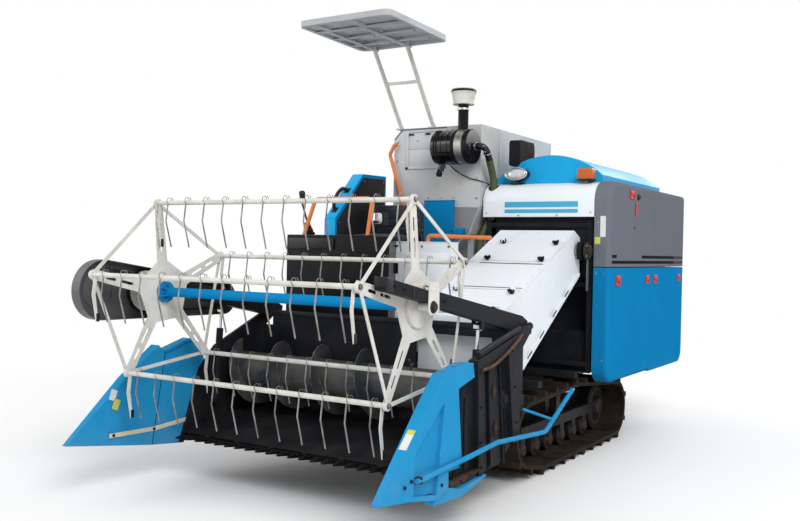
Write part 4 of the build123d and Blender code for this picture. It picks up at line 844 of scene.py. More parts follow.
# header: top tube, hose, bolts, bearings, folds and lugs of the left side sheet, knife sections, hold-downs
header = {"left": 0.965, "postOut": 1.0, "knife": (-1.581, 0.25), "sections": 24, "halfKnife": 0.86}
dress(pipe("headerTopTube", [(0.985, -1.432, 0.868), (0.985, -1.09, 0.942), (0.985, -0.93, 0.972)], 0.017, 0.05,
    4, 4), "blackPaint", "header")
dress(pipe("headerHose", [(1.004, -1.41, 0.792), (1.008, -1.3, 0.8), (1.008, -1.166, 0.842),
    (1.008, -1.04, 0.893), (1.002, -0.94, 0.935), (0.975, -0.86, 0.958)], 0.009, 0.08, 4, 5), "brownHose",
    "header")
spots = across(header["postOut"], (-1.425, 0.78), (-1.412, 0.6), (-1.405, 0.42), (-1.396, 0.29), (-1.045, 0.86),
    (-1.005, 0.66), (-0.975, 0.46))
spots += across(header["left"], (-1.25, 0.72), (-1.25, 0.52), (-1.22, 0.36), (-1.53, 0.62), (-1.535, 0.42))
screws("headerBoltsLeft", spots, (1, 0, 0), 0.013, "blackPaint", "header")
screws("headerBoltsRight", across(-header["left"], (-1.1, 0.62), (-1.1, 0.44), (-0.9, 0.8), (-0.9, 0.56),
    (-1.33, 0.6)), (-1, 0, 0), 0.013, "blackPaint", "header")
made("augerBearings", [turned("augerBearing", [(0, 0.052), (0.006, 0.051), (0.01, 0.045), (0.01, 0.03),
    (0.018, 0.028), (0.022, 0.024), (0.022, 0)], (side * header["left"], -1.08, 0.6), (side, 0, 0), 32)
    for side in (-1, 1)], "blackPaint", "header", slot="cast")
# folds, gaps and lugs on the left side sheet
sheet = header["left"]
made("sideSheets", [plate("sideFold", [(-1.285, 0.78), (-1.238, 0.26), (-1.224, 0.26), (-1.271, 0.783)], "x",
    sheet, sheet + 0.012, 0.004), plate("sideFold", [(-1.156, 0.815), (-1.082, 0.25), (-1.066, 0.25),
    (-1.14, 0.818)], "x", sheet, sheet + 0.012, 0.004), slab("sideRib", (sheet, -1.535, 0.3),
    (sheet + 0.01, -1.515, 0.66), 0.004)], "blackPaint", "header")
made("sideGaps", [plate("sideGap", [(-1.308, 0.776), (-1.261, 0.245), (-1.24, 0.245), (-1.287, 0.779)], "x",
    sheet, sheet + 0.0015, 0.0004), plate("sideGap", [(-1.138, 0.815), (-1.064, 0.24), (-1.034, 0.24),
    (-1.108, 0.822)], "x", sheet, sheet + 0.0015, 0.0004)], "blackMatt", "header")
pieces = []
for y, z in ((-1.205, 0.655), (-1.175, 0.46)):
    pieces.append(slab("sideLug", (sheet, y - 0.022, z - 0.016), (sheet + 0.01, y + 0.022, z + 0.016), 0.004))
    pieces.append(slab("sideLug", (sheet, y - 0.008, z - 0.04), (sheet + 0.006, y + 0.016, z + 0.036), 0.003))
made("sideLugs", pieces, "rustySteel", "header")
section = plate("section", [(-0.036, 0.01), (-0.036, 0.0), (-0.012, -0.052), (0.012, -0.052), (0.036, 0.0),
    (0.036, 0.01)], "z", 0, 0.0022, 0.0006)
pitch = 2 * header["halfKnife"] / (header["sections"] - 1)
knifeY, knifeZ = header["knife"]
dress(spread("knifeSections", section, [at((-header["halfKnife"] + i * pitch, knifeY, knifeZ + 0.0022))
    for i in range(header["sections"])]), "knifeBlack", "knife")
holder = slab("holder", (-0.016, -0.006, 0.0), (0.016, 0.03, 0.007), 0.002)
dress(spread("knifeHolders", holder, [at((x, knifeY + 0.006, knifeZ + 0.0052))
    for x in (-0.74, -0.5, -0.25, 0.0, 0.25, 0.5, 0.74)]), "castIron", "header")
print("header details made")

# dividers: blank plates, bolts, guide strip, painted shadow line of the seam and the fold of the right one
divider = {"left": 0.965, "right": -0.965, "out": 0.063, "tip": (-2.389, 0.318), "top": (-1.859, 0.815),
    "blankX": 0.984, "blankGap": 0.0012}
leftFace, rightFace = divider["left"] + divider["out"], divider["right"]
(tipY, tipZ), (topY, topZ) = divider["tip"], divider["top"]
lean = atan2(topZ - tipZ, topY - tipY)
for name, y, long, look in (("leftBlank", -2.178, 0.085, "stickerWhite"),
        ("leftBlankTop", -2.116, 0.025, "stickerYellow")):
    place = (divider["blankX"], y, tipZ + (y - tipY) * tan(lean) + divider["blankGap"])
    dress(moved(slab(name, (0, 0, 0), (0.04, long, 0.0006), 0), at(place, lean)), look, "header")
screws("leftDividerBolts", across(leftFace, (-2.19, 0.355), (-2.135, 0.372), (-1.86, 0.3), (-1.7, 0.37)),
    (1, 0, 0), 0.013, "blackPaint", "header")
topTurn = aim((0, 0, 0), (0, -0.17, 1)).to_matrix().to_4x4()
spots = [(0.995, -1.8, 0.826), (0.998, -1.715, 0.841), (0.985, -1.61, 0.848)]
dress(spread("leftDividerTopBolts", boltHead(0.012), [at(spot) @ topTurn for spot in spots]), "wornSteel",
    "header")
# bent strip that guides the crop along the right divider, on its inner face
stripPoints = [(-2.118, 0.321), (-1.79, 0.313), (-1.491, 0.334)]
made("guideStrip", [plate("strip", [(y0, z0 - 0.013), (y1, z1 - 0.013), (y1, z1 + 0.013), (y0, z0 + 0.013)],
    "x", rightFace, rightFace + 0.006, 0.002) for (y0, z0), (y1, z1) in zip(stripPoints, stripPoints[1:])],
    "creamPaint", "header")
screws("guideStripBolts", across(rightFace + 0.006, (-2.09, 0.321), (-1.79, 0.313), (-1.52, 0.332)), (1, 0, 0),
    0.014, "blackPaint", "header")
# painted shadow line: a thin black strip along the seam of the right divider
dress(plate("rightSeamShadow", [(-1.709, 0.761), (-1.705, 0.761), (-1.795, 0.222), (-1.799, 0.222)], "x", rightFace,
    rightFace + 0.0015, 0.0004), "blackMatt", "header", slot="body_blue")
dress(plate("rightTopFold", [(-1.712, 0.768), (-1.504, 0.828), (-1.424, 0.792), (-1.42, 0.778), (-1.504, 0.812),
    (-1.708, 0.752)], "x", rightFace, rightFace + 0.012, 0.003), "bluePaint", "header")
for name, y, z, look in (("rightBlank", -2.092, 0.548, "stickerWhite"),
        ("rightBlankLow", -2.07, 0.492, "stickerYellow")):
    dress(moved(slab(name, (rightFace - 0.0002, -0.022, -0.03), (rightFace + 0.0008, 0.022, 0.03), 0),
        at((0, y, z), -0.35)), look, "header")
# rusty foot bracket behind the left divider
dress(plate("footBracket", [(-1.78, 0.256), (-1.64, 0.25), (-1.48, 0.262), (-1.4, 0.286), (-1.48, 0.292),
    (-1.66, 0.28), (-1.78, 0.288)], "x", 0.972, 1.004, 0.004), "rustySteel", "header")
screws("footBolts", across(1.004, (-1.74, 0.27), (-1.62, 0.266), (-1.52, 0.276)), (1, 0, 0), 0.014,
    "rustySteel", "header")
print("divider details made")

# guide tube: collar and tie
dress(slab("guideCollar", (1.024, -2.096, 0.353), (1.0535, -2.074, 0.386), 0.004, 3), "castIron", "header")
dress(slab("guideTie", (1.002, -2.1, 0.35), (1.034, -2.07, 0.376), 0.003), "castIron", "header")
print("guide tube details made")

# operator's station: pocket, cap strip, screws and rib of the front panel, ribbed floor mat, pedal
station = {"face": -0.63, "consoleX": (-0.89, -0.8), "consoleSlope": [(-0.241, 1.618), (0.102, 1.962)],
    "boxFront": -0.3}
dress(slab("panelPocket", (-0.905, -0.644, 1.395), (-0.52, -0.628, 1.47), 0.005, 3), "blackPlastic")
dress(slab("panelCap", (-0.922, -0.634, 1.484), (-0.205, -0.606, 1.492), 0.003, 3), "blackPlastic")
screws("panelScrews", [(x, station["face"], z) for x in (-0.895, -0.66, -0.43, -0.225)
    for z in (0.675, 1.05, 1.36)], (0, -1, 0), 0.012, "blackPaint")
dress(plate("panelRib", [(-0.9, 1.36), (-0.225, 1.36), (-0.225, 1.352), (-0.9, 1.352)], "y",
    station["face"] - 0.003, station["face"], 0.001), "blackGloss", slot="black_paint")
matSheet = slab("floorMat", (-0.79, -0.6, 0.6395), (-0.3, 0.005, 0.648), 0.003)
ribs = [slab("matRib", (-0.78, y, 0.647), (-0.31, y + 0.01, 0.651), 0.002)
    for y in [-0.58 + 0.045 * i for i in range(13)]]
made("floorMat", [matSheet] + ribs, "trackRubber")
made("footPedal", [slab("pedal", (-0.42, -0.47, 0.7), (-0.33, -0.38, 0.712), 0.003),
    bar("pedalArm", (-0.375, -0.42, 0.64), (-0.375, -0.425, 0.7), 0.01)], "blackPaint")

# steering lever: rubber bellows and grip
rings = []
for i in range(6):
    low = 0.004 + i * 0.013
    wide = 0.04 - i * 0.0034
    rings += [(low, wide * 0.82), (low + 0.0045, wide), (low + 0.0085, wide)]
rings = [(0, 0.046), (0.004, 0.046)] + rings + [(0.084, 0.017), (0.088, 0.0148)]
dress(turned("leverBellows", rings, (-0.79, -0.56, 1.4925), (-0.022, 0, 0.0875), 26), "trackRubber")
dress(turned("leverGrip", [(0, 0.01), (0.012, 0.0165), (0.02, 0.0185), (0.03, 0.0195), (0.045, 0.0188),
    (0.058, 0.0205), (0.07, 0.0225), (0.08, 0.0218), (0.088, 0.016), (0.091, 0.008), (0.092, 0)],
    (-0.8525, -0.56, 1.709), (-0.0055, 0, 0.086), 28), "blackPlastic")

# service box: bolts, lid, door, round knob, hinges
screws("serviceBolts", [(x, station["boxFront"], z) for z in (1.428, 0.67) for x in (-0.225, -0.03, 0.175)],
    (0, -1, 0), 0.013)
made("serviceLid", slabs(((-0.258, -0.304, 1.4515), (0.209, -0.213, 1.4585), 0.003, 3),
    ((-0.215, -0.303, 0.72), (0.165, -0.2995, 1.385), 0.002)), "whitePaint")
made("serviceFittings", [turned("boxKnob", [(0, 0.019), (0.004, 0.021), (0.016, 0.019), (0.019, 0.012),
    (0.019, 0)], (0.135, -0.303, 1.06), (0, -1, 0), 24),
    slab("boxHinge", (-0.232, -0.307, 0.8), (-0.216, -0.3, 0.87), 0.002),
    slab("boxHinge", (-0.232, -0.307, 1.24), (-0.216, -0.3, 1.31), 0.002)], "blackPlastic")

# blue box behind: bolts, cap, side strips, low step
screws("blueBoxBolts", [(-0.44, 0.44, 1.762), (-0.226, 0.44, 1.762), (-0.226, 0.44, 1.56)], (0, -1, 0), 0.007)
made("blueBoxCap", slabs(((-0.458, 0.438, 1.778), (-0.208, 0.4795, 1.7865), 0.002),
    ((-0.458, 0.438, 1.3), (-0.452, 0.472, 1.7865), 0.002),
    ((-0.214, 0.438, 1.3), (-0.208, 0.472, 1.7865), 0.002),
    ((-0.2, 0.42, 1.5265), (-0.11, 0.47, 1.575), 0.004)), "bluePaint")

# seat: two crowned cushions with piping, on a shell, a pan and a pleated stand
seat = {"baseX": (-0.76, -0.35), "baseY": (-0.15, 0.215), "baseTop": 1.51, "backX": (-0.75, -0.36),
    "backY": (0.21, 0.3), "backTop": 1.74, "seamDrop": 0.006}


def cushion(name, low, high, crown, channels):
    # a closed block with rounded corners, crowned on one face, with stitched channels across it
    activate(None)
    middle = [(a + b) / 2 for a, b in zip(low, high)]
    bpy.ops.mesh.primitive_cube_add(size=1, location=middle, scale=[b - a for a, b in zip(low, high)])
    piece = settle(bpy.context.object, name)
    edge = piece.modifiers.new("edge", "BEVEL")
    edge.width = min(b - a for a, b in zip(low, high)) * 0.36
    edge.segments = 4
    bpy.ops.object.modifier_apply(modifier="edge")
    cells = piece.modifiers.new("cells", "REMESH")
    cells.mode = "VOXEL"
    cells.voxel_size = 0.006
    bpy.ops.object.modifier_apply(modifier="cells")
    half = [(b - a) / 2 for a, b in zip(low, high)]
    axis = {"z": 2, "y": 1}[crown[0]]
    other = {"z": 1, "y": 2}[crown[0]]
    for corner in piece.data.vertices:
        u = (corner.co[0] - middle[0]) / half[0]
        v = (corner.co[other] - middle[other]) / half[other]
        side = (corner.co[axis] - middle[axis]) / half[axis] * crown[1]
        if side <= 0:
            continue
        dome = (1 - u * u) * (1 - v * v)
        groove = 0.0
        for place in channels:
            gap = (v - place) / 0.045
            groove = max(groove, exp(-gap * gap))
        for place in (-0.82, 0.82):
            groove = max(groove, exp(-((u - place) / 0.03) ** 2), exp(-((v - place) / 0.03) ** 2))
        corner.co[axis] += crown[1] * side * (crown[2] * (dome - 0.55) - groove * seat["seamDrop"])
    smooth = piece.modifiers.new("smooth", "SMOOTH")
    smooth.iterations = 2
    bpy.ops.object.modifier_apply(modifier="smooth")
    bpy.ops.object.shade_smooth_by_angle(angle=radians(60))
    return piece


base = cushion("seatBase", (seat["baseX"][0], seat["baseY"][0], 1.424),
    (seat["baseX"][1], seat["baseY"][1] - 0.006, seat["baseTop"] + 0.002), ("z", 1, 0.01), (-0.3, 0.25))
dress(base, "seatVinyl")
back = cushion("seatBack", (seat["backX"][0], seat["backY"][0], 1.49),
    (seat["backX"][1], seat["backY"][1] - 0.012, seat["backTop"]), ("y", -1, 0.012), (-0.35, 0.15))
dress(back, "seatVinyl")
dress(pipe("seatPiping", [(-0.755, -0.145, 1.432), (-0.355, -0.145, 1.432), (-0.355, 0.2, 1.432),
    (-0.755, 0.2, 1.432)], 0.0045, 0.035, 3, 4, True), "blackPlastic")
made("seatShell", slabs(((-0.74, 0.288, 1.44), (-0.37, 0.301, 1.715), 0.005, 3),
    ((-0.75, -0.138, 1.3995), (-0.36, 0.21, 1.426), 0.004), ((-0.765, 0.19, 1.405), (-0.75, 0.27, 1.48), 0.004),
    ((-0.36, 0.19, 1.405), (-0.345, 0.27, 1.48), 0.004)), "blackPlastic")
pieces = [slab("standSkirt", (-0.695, 0.055, 1.252 + 0.024 * i), (-0.415, 0.21, 1.272 + 0.024 * i), 0.008, 2)
    for i in range(6)]
pieces += slabs(((-0.68, 0.07, 1.235), (-0.43, 0.198, 1.399), 0.004),
    ((-0.7, 0.05, 1.2305), (-0.41, 0.215, 1.242), 0.003))
made("seatStand", pieces, "blackPaint", replaced=("seat",))
print("station and seat made")

# console: blue band round its edge, inner sheet with screws, handle on its slope, gauges
consoleLow, consoleHigh = station["consoleX"]
band = [(-0.243, 1.0), (-0.243, 1.62), (0.101, 1.965), (0.425, 1.971)]
pieces = []
for (y0, z0), (y1, z1) in zip(band, band[1:]):
    length = hypot(y1 - y0, z1 - z0)
    pieces.append(moved(slab("band", (consoleLow - 0.003, 0, -0.0015), (consoleHigh + 0.003, length, 0.004),
        0.0015), at((0, y0, z0), atan2(z1 - z0, y1 - y0))))
made("consoleBand", pieces, "topBlue")
dress(plate("consoleInner", [(-0.218, 1.02), (-0.218, 1.606), (0.11, 1.944), (0.405, 1.95), (0.405, 1.25),
    (0.02, 1.25), (0.0, 1.02)], "x", consoleHigh, consoleHigh + 0.003, 0.001), "blackPlastic")
screws("consoleScrews", across(consoleHigh + 0.003, (-0.195, 1.59), (-0.195, 1.3), (0.118, 1.915),
    (0.38, 1.925), (0.38, 1.29), (-0.03, 1.1)), (1, 0, 0), 0.011)
(slopeY, slopeZ), (slopeEndY, slopeEndZ) = station["consoleSlope"]
slope = atan2(slopeEndZ - slopeZ, slopeEndY - slopeY)
consoleMiddle = (consoleLow + consoleHigh) / 2


def onSlope(along, above):
    # y and z of a point over the console's slope
    return (slopeY + along * cos(slope) - above * sin(slope), slopeZ + along * sin(slope) + above * cos(slope))


grip = [(0.085, 0), (0.1, 0.052), (0.185, 0.078), (0.275, 0.06), (0.3, 0)]
pieces = [pipe("consoleHandle", [(consoleMiddle, *onSlope(*spot)) for spot in grip], 0.014, 0.05, 5, 6)]
for along in (0.085, 0.3):
    pieces.append(moved(slab("handleFoot", (consoleMiddle - 0.022, along - 0.026, 0.002),
        (consoleMiddle + 0.022, along + 0.026, 0.014), 0.004), at((0, slopeY, slopeZ), slope)))
made("consoleHandle", pieces, "blackPlastic")
made("gauges", [turned("gauge", [(0, 0.034), (0.006, 0.034), (0.008, 0.031), (0.006, 0.029), (0.004, 0.0285),
    (0.004, 0)], (consoleMiddle, 0.2, 1.9645), (0, 0, 1), 28), turned("gauge",
    [(0, 0.024), (0.006, 0.024), (0.008, 0.021), (0.006, 0.019), (0.004, 0.0185), (0.004, 0)],
    (consoleMiddle, 0.3, 1.9655), (0, 0, 1), 24)], "blackGloss")
print("console made")

# engine cover: screen wires and rim, toggles, lid seams, louvres
engine = {"y": (0.05, 0.44), "z": (0.66, 1.17), "rim": 0.02, "pitch": 0.0125, "wires": (29, 38),
    "wireX": -0.9155, "wire": 0.001}
(y0, y1), (z0, z1) = [(low + engine["rim"], high - engine["rim"]) for low, high in (engine["y"], engine["z"])]
half = engine["wire"]
backX, frontX = engine["wireX"] - half, engine["wireX"] + half
pieces = []
for i in range(engine["wires"][0]):
    y = y0 + i * engine["pitch"]
    pieces.append(slab("wire", (backX, y - half, z0), (frontX, y + half, z1), 0))
for i in range(engine["wires"][1]):
    z = z0 + i * engine["pitch"]
    pieces.append(slab("wire", (backX, y0, z - half), (frontX, y1, z + half), 0))
made("screenWires", pieces, "castIron")
rim = [slab("rim", (-0.92, 0.046, z - 0.01), (-0.9135, 0.444, z + 0.01), 0.003) for z in (0.67, 1.16)]
rim += [slab("rim", (-0.92, y - 0.01, 0.656), (-0.9135, y + 0.01, 1.174), 0.003) for y in (0.056, 0.434)]
made("screenRim", rim, "blackPaint")
made("screenToggles", [slab("toggle", (-0.926, 0.04, z - 0.03), (-0.913, 0.058, z + 0.03), 0.004, 3)
    for z in (0.8, 1.04)], "blackPlastic")
pieces = slabs(((-0.902, 0.018, 1.178), (0.0, 0.0215, 1.184), 0.001),
    ((-0.9025, 0.02, 1.178), (-0.899, 0.47, 1.184), 0.001))
for i in range(7):
    pieces.append(slab("louvre", (-0.78, 0.0135, 0.76 + i * 0.045), (-0.42, 0.0215, 0.772 + i * 0.045), 0.003))
made("engineLouvres", pieces, "blackPaint")
print("engine cover made")

# grain tank: frame strips and sheets, ribs, bolts, latches, lid handle and seams
tank = {"front": 0.48, "sideRibs": (0.8, 1.14, 1.48)}
front = tank["front"]
pieces = slabs(((-0.656, front - 0.009, 2.03), (-0.628, front, 2.33), 0.003),
    ((-0.656, front - 0.009, 2.03), (-0.3, front, 2.052), 0.003),
    ((-0.632, front - 0.003, 2.048), (-0.3, front, 2.18), 0.0015),
    ((-0.632, front - 0.003, 2.186), (-0.3, front, 2.3), 0.0015),
    ((-0.656, front - 0.006, 2.316), (-0.25, front, 2.33), 0.002),
    ((-0.764, front - 0.003, 1.734), (-0.08, front, 1.742), 0.001))
for y in tank["sideRibs"]:
    pieces.append(slab("sideRib", (-0.0005, y - 0.012, 1.93), (0.005, y + 0.012, 2.25), 0.0015))
    pieces.append(slab("sideRib", (-0.77, y - 0.012, 1.2), (-0.7645, y + 0.012, 2.25), 0.0015))
pieces.append(slab("sideFold", (-0.771, 0.484, 1.64), (-0.7645, 1.806, 1.665), 0.0015))
pieces.append(slab("rearRib", (-0.4, 1.8095, 1.32), (-0.376, 1.815, 2.24), 0.0015))
pieces.append(slab("rearRib", (-0.755, 1.8095, 1.9), (-0.01, 1.815, 1.922), 0.0015))
made("tankRibs", pieces, "tankPaint")
spots = [(x, front, 1.808) for x in (-0.445, -0.335, -0.225)] + [(x, front, z) for x in (-0.735, -0.03)
    for z in (1.8, 1.95, 2.1)]
spots += [(x, front, 2.249) for x in (-0.73, -0.55, -0.37, -0.19, -0.03)]
screws("tankBoltsFront", spots, (0, -1, 0), 0.012)
screws("tankBoltsSide", [(-0.765, y, z) for y in (0.52, 0.97, 1.31, 1.77) for z in (1.26, 1.7, 2.2)],
    (-1, 0, 0), 0.012)
pieces = []
for x in (-0.608, -0.458):
    pieces.append(slab("latchPlate", (x - 0.022, front - 0.009, 2.294), (x + 0.022, front, 2.308), 0.003))
    pieces.append(slab("latchArm", (x - 0.018, front - 0.018, 2.297), (x + 0.024, front - 0.008, 2.305), 0.002))
made("tankLatches", pieces, "blackPlastic")
pieces = [slab("handleFoot", (-0.4 + i * 0.16, 1.1, 2.352), (-0.37 + i * 0.16, 1.13, 2.362), 0.002)
    for i in (0, 1)]
pieces.append(pipe("lidHandle", [(-0.385, 1.115, 2.355), (-0.385, 1.115, 2.395), (-0.225, 1.115, 2.395),
    (-0.225, 1.115, 2.355)], 0.007, 0.02, 4, 4))
made("tankLidHandle", pieces, "blackPaint")
pieces = [slab("lidSeam", (-0.7, y - 0.006, 2.349), (-0.06, y + 0.006, 2.354), 0.002) for y in (0.86, 1.44)]
pieces += [slab("lidSeam", (x - 0.006, 0.6, 2.349), (x + 0.006, 1.7, 2.354), 0.002) for x in (-0.7, -0.06)]
made("tankLidSeams", pieces, "tankPaint")
# sight window on the right wall
dress(slab("windowRim", (-0.773, 0.86, 1.72), (-0.7645, 1.06, 2.02), 0.006, 3), "blackPlastic")
dress(slab("windowGlass", (-0.7745, 0.876, 1.736), (-0.772, 1.044, 2.004), 0.001), "lampGlass")
print("tank details made")

# air cleaner: silver band, clamps, end cap with ribs, ejector, clips; hose clamps and sleeve; wire; pre-cleaner
cleaner = {"axis": (0.351, 2.17), "outer": -0.295}
cy, cz = cleaner["axis"]
dress(turned("cleanerBand", [(0, 0.1225), (0.0005, 0.1252), (0.0615, 0.1252), (0.062, 0.1225)],
    (-0.098, cy, cz), (1, 0, 0), 48), "wornSteel")
pieces = [turned("clampBand", [(0, 0.122), (0, 0.1275), (0.008, 0.1275), (0.008, 0.122)], (x, cy, cz),
    (1, 0, 0), 48) for x in (-0.27, -0.25, -0.125, -0.112, -0.026, -0.008)]
cap = [(0, 0.114), (0.004, 0.106), (0.004, 0.095), (0.009, 0.09), (0.009, 0.06), (0.004, 0.055), (0.004, 0.03),
    (0.013, 0.026), (0.013, 0)]
pieces.append(turned("endCap", cap, (cleaner["outer"], cy, cz), (-1, 0, 0), 48))
for i in range(8):
    pieces.append(moved(slab("rib", (cleaner["outer"] - 0.0095, -0.003, 0.058),
        (cleaner["outer"] - 0.004, 0.003, 0.108), 0.001), at((0, cy, cz), radians(45 * i + 12))))
pieces.append(turned("ejector", [(0, 0.018), (0.03, 0.022), (0.034, 0.026), (0.052, 0.02), (0.056, 0.01),
    (0.057, 0)], (-0.272, cy - 0.008, cz - 0.16), (-0.02, -0.004, -0.24), 20))
for angle in (25, 145, 265):
    pieces.append(moved(slab("clip", (-0.284, -0.008, 0.12), (-0.24, 0.008, 0.134), 0.003),
        at((0, cy, cz), radians(angle))))
made("cleanerFittings", pieces, "blackPaint")
hoseClamps = []
for (x, y, z), toward in (((0.02, cy, cz), (1, cy, cz)), ((0.098, 0.388, 2.128), (0.064, 0.58, 1.94)),
        ((0.066, 0.572, 1.951), (0.0638, 0.586, 1.9))):
    ring = turned("clamp", [(0, 0.0255), (0, 0.0282), (0.012, 0.0282), (0.012, 0.0255)], (x, y, z),
        Vector(toward) - Vector((x, y, z)), 28)
    lug = bolts("lug", [(x, y - 0.027, z + 0.002)], (0, -1, 0), 0.01)
    hoseClamps.append(join("clamp", [ring, lug]))
made("hoseClamps", hoseClamps, "brightSteel")
dress(pipe("greenSleeve", [(0.0905, 0.438, 2.083), (0.064, 0.58, 1.94), (0.062, 0.59, 1.656),
    (-0.025, 0.56, 1.54), (-0.03, 0.53, 1.1)], 0.0268, 0.085, 5, 6), "greenHose")
dress(pipe("frontWire", [(-0.255, 0.44, 2.075), (-0.235, 0.473, 2.03), (-0.17, 0.474, 1.985),
    (-0.081, 0.474, 1.945), (0.014, 0.47, 1.925), (0.04, 0.56, 1.905)], 0.0042, 0.05, 3, 5), "blackPlastic")
dress(spread("wireClips", slab("clip", (-0.008, -0.006, -0.005), (0.008, 0.006, 0.005), 0.002),
    [at(spot) for spot in ((-0.17, 0.474, 1.985), (-0.085, 0.474, 1.947))]), "wornSteel")
intake = {"x": -0.085, "y": 0.351}
made("preCleanerTop", [turned("cleanerPipe", [(0, 0.0385), (0.18, 0.0385), (0.19, 0.0445), (0.196, 0.0445)],
    (intake["x"], intake["y"], 2.29), (0, 0, 1), 32), turned("capTop",
    [(-0.006, 0.0915), (-0.006, 0.0945), (0.003, 0.0945), (0.01, 0.09), (0.0165, 0.072), (0.0185, 0.0)],
    (intake["x"], intake["y"], 2.578), (0, 0, 1), 40)], "blackGloss")
made("preCleanerRings", [turned("bowlRing", [(0, 0.0745), (0, 0.078), (0.006, 0.08), (0.01, 0.0775),
    (0.01, 0.074)], (intake["x"], intake["y"], 2.48), (0, 0, 1), 40),
    turned("bowlRing", [(0, 0.0885), (0.004, 0.0915), (0.009, 0.0905)], (intake["x"], intake["y"], 2.558),
    (0, 0, 1), 40)], "reelPaint")
dress(turned("preCleanerClamp", [(0, 0.04), (0, 0.0455), (0.014, 0.0455), (0.014, 0.04)],
    (intake["x"], intake["y"], 2.44), (0, 0, 1), 32), "brightSteel")
print("air cleaner details made")

# muffler: ribs of its heat shield
muffler = {"x": (0.15, 0.24), "front": 0.65, "z": (2.048, 2.239), "ribPitch": 0.0275}
pieces = []
for i in range(9):
    y = muffler["front"] + 0.022 + i * muffler["ribPitch"]
    pieces.append(slab("shieldRib", (muffler["x"][0] - 0.004, y - 0.005, muffler["z"][0] + 0.012),
        (muffler["x"][1] + 0.004, y + 0.005, muffler["z"][1] + 0.004), 0.003))
made("mufflerRibs", pieces, "castIron")
print("muffler details made")

# lamps: oval lamp, rounded square lamp with screws, ribbed turn lamp on its foot
oval = {"x": 0.24, "z": 1.982, "wide": 0.088, "high": 0.046, "y": 0.585}


def ovalPiece(name, places, sides=48):
    # a lathe form stretched to an oval, facing the front
    return moved(turned(name, places, (0, 0, 0), (0, -1, 0), sides),
        at((oval["x"], oval["y"], oval["z"])) @ Matrix.Diagonal((oval["wide"], 1, oval["high"], 1)))


dress(ovalPiece("ovalBezel", [(-0.002, 0.99), (-0.002, 1.045), (0.01, 1.045), (0.013, 1.0), (0.012, 0.93),
    (0.004, 0.9), (0.002, 0.9)]), "brightSteel")
dress(ovalPiece("ovalLens", [(0.001, 0.9), (0.004, 0.88), (0.007, 0.6), (0.0085, 0.3), (0.009, 0.0)]),
    "lampGlass")
square = {"x": (-0.262, -0.174), "front": -0.56, "z": (1.56, 1.648), "rim": 0.003, "lensReach": 0.0365}
lampX = sum(square["x"]) / 2
lampZ = sum(square["z"]) / 2
dress(slab("squareBezel", (square["x"][0] + square["rim"], square["front"] - 0.008,
    square["z"][0] + square["rim"]), (square["x"][1] - square["rim"], square["front"] + 0.002,
    square["z"][1] - square["rim"]), 0.0045, 3), "blackPlastic")
outline = []
for i in range(40):
    turn = 2 * pi * i / 40
    reach = square["lensReach"] / (abs(cos(turn)) ** 4 + abs(sin(turn)) ** 4) ** 0.25
    outline.append((lampX + reach * cos(turn), lampZ + reach * sin(turn)))
dress(plate("squareLens", outline, "y", square["front"] - 0.0115, square["front"] - 0.006, 0.003, 3),
    "lampGlass")
screws("lampScrews", [(x, square["front"], z) for x in (square["x"][0] + 0.01, square["x"][1] - 0.01)
    for z in (square["z"][0] + 0.01, square["z"][1] - 0.01)], (0, -1, 0), 0.005, "blackPlastic",
    slot="black_plastic")
turnLamp = {"x": (0.727, 0.837), "y": (0.56, 0.64), "z": (1.925, 2.005)}
made("turnLampRibs", [slab("lensRib", (turnLamp["x"][0] + 0.012 + i * 0.0145, turnLamp["y"][0] - 0.003,
    turnLamp["z"][0] + 0.014), (turnLamp["x"][0] + 0.018 + i * 0.0145, turnLamp["y"][0] + 0.002,
    turnLamp["z"][1] - 0.012), 0.0015) for i in range(7)], "lampOrange")
dress(slab("turnLampFoot", (turnLamp["x"][0] - 0.003, turnLamp["y"][0] - 0.002, turnLamp["z"][0] - 0.006),
    (turnLamp["x"][1] + 0.003, turnLamp["y"][1] + 0.002, turnLamp["z"][0] + 0.008), 0.004), "blackPlastic")
print("lamps made")

# canopy: cross ribs and rails under it, bolts, feet and gussets of its posts
canopy = {"x": (-0.87, -0.12), "front": -0.63, "z": 2.925, "fall": 0.015 / 0.8, "ribs": (-0.44, -0.23, -0.02),
    "posts": (-0.73, -0.44)}


def canopyUnder(y):
    return canopy["z"] - (y - canopy["front"]) * canopy["fall"]


pieces = []
for y in canopy["ribs"]:
    z = canopyUnder(y)
    pieces.append(slab("rib", (canopy["x"][0] + 0.02, y - 0.018, z - 0.007),
        (canopy["x"][1] - 0.02, y + 0.018, z + 0.003), 0.003))
for x in canopy["posts"]:
    pieces.append(moved(slab("rail", (x - 0.016, 0.005, -0.014), (x + 0.016, 0.6, 0.0), 0.003),
        at((0, -0.44, canopyUnder(-0.44) - 0.002), -atan(canopy["fall"]))))
made("canopyRibs", pieces, "canopyPaint")
screws("canopyBolts", [(x, y, canopyUnder(y) - 0.007) for x in (canopy["x"][0] + 0.05, -0.5,
    canopy["x"][1] - 0.05) for y in canopy["ribs"]], (0, 0, -1), 0.011)
pieces = []
for x in canopy["posts"]:
    pieces.append(slab("postFoot", (x - 0.035, 0.495, 2.35), (x + 0.035, 0.565, 2.357), 0.002))
    pieces.append(slab("postGusset", (x - 0.004, 0.5, 2.352), (x + 0.004, 0.56, 2.385), 0.002))
made("postFeet", pieces, "reelPaint")
screws("postFootBolts", [(x + dx, y, 2.357) for x in canopy["posts"] for dx in (-0.025, 0.025)
    for y in (0.505, 0.557)], (0, 0, 1), 0.011)
print("canopy details made")

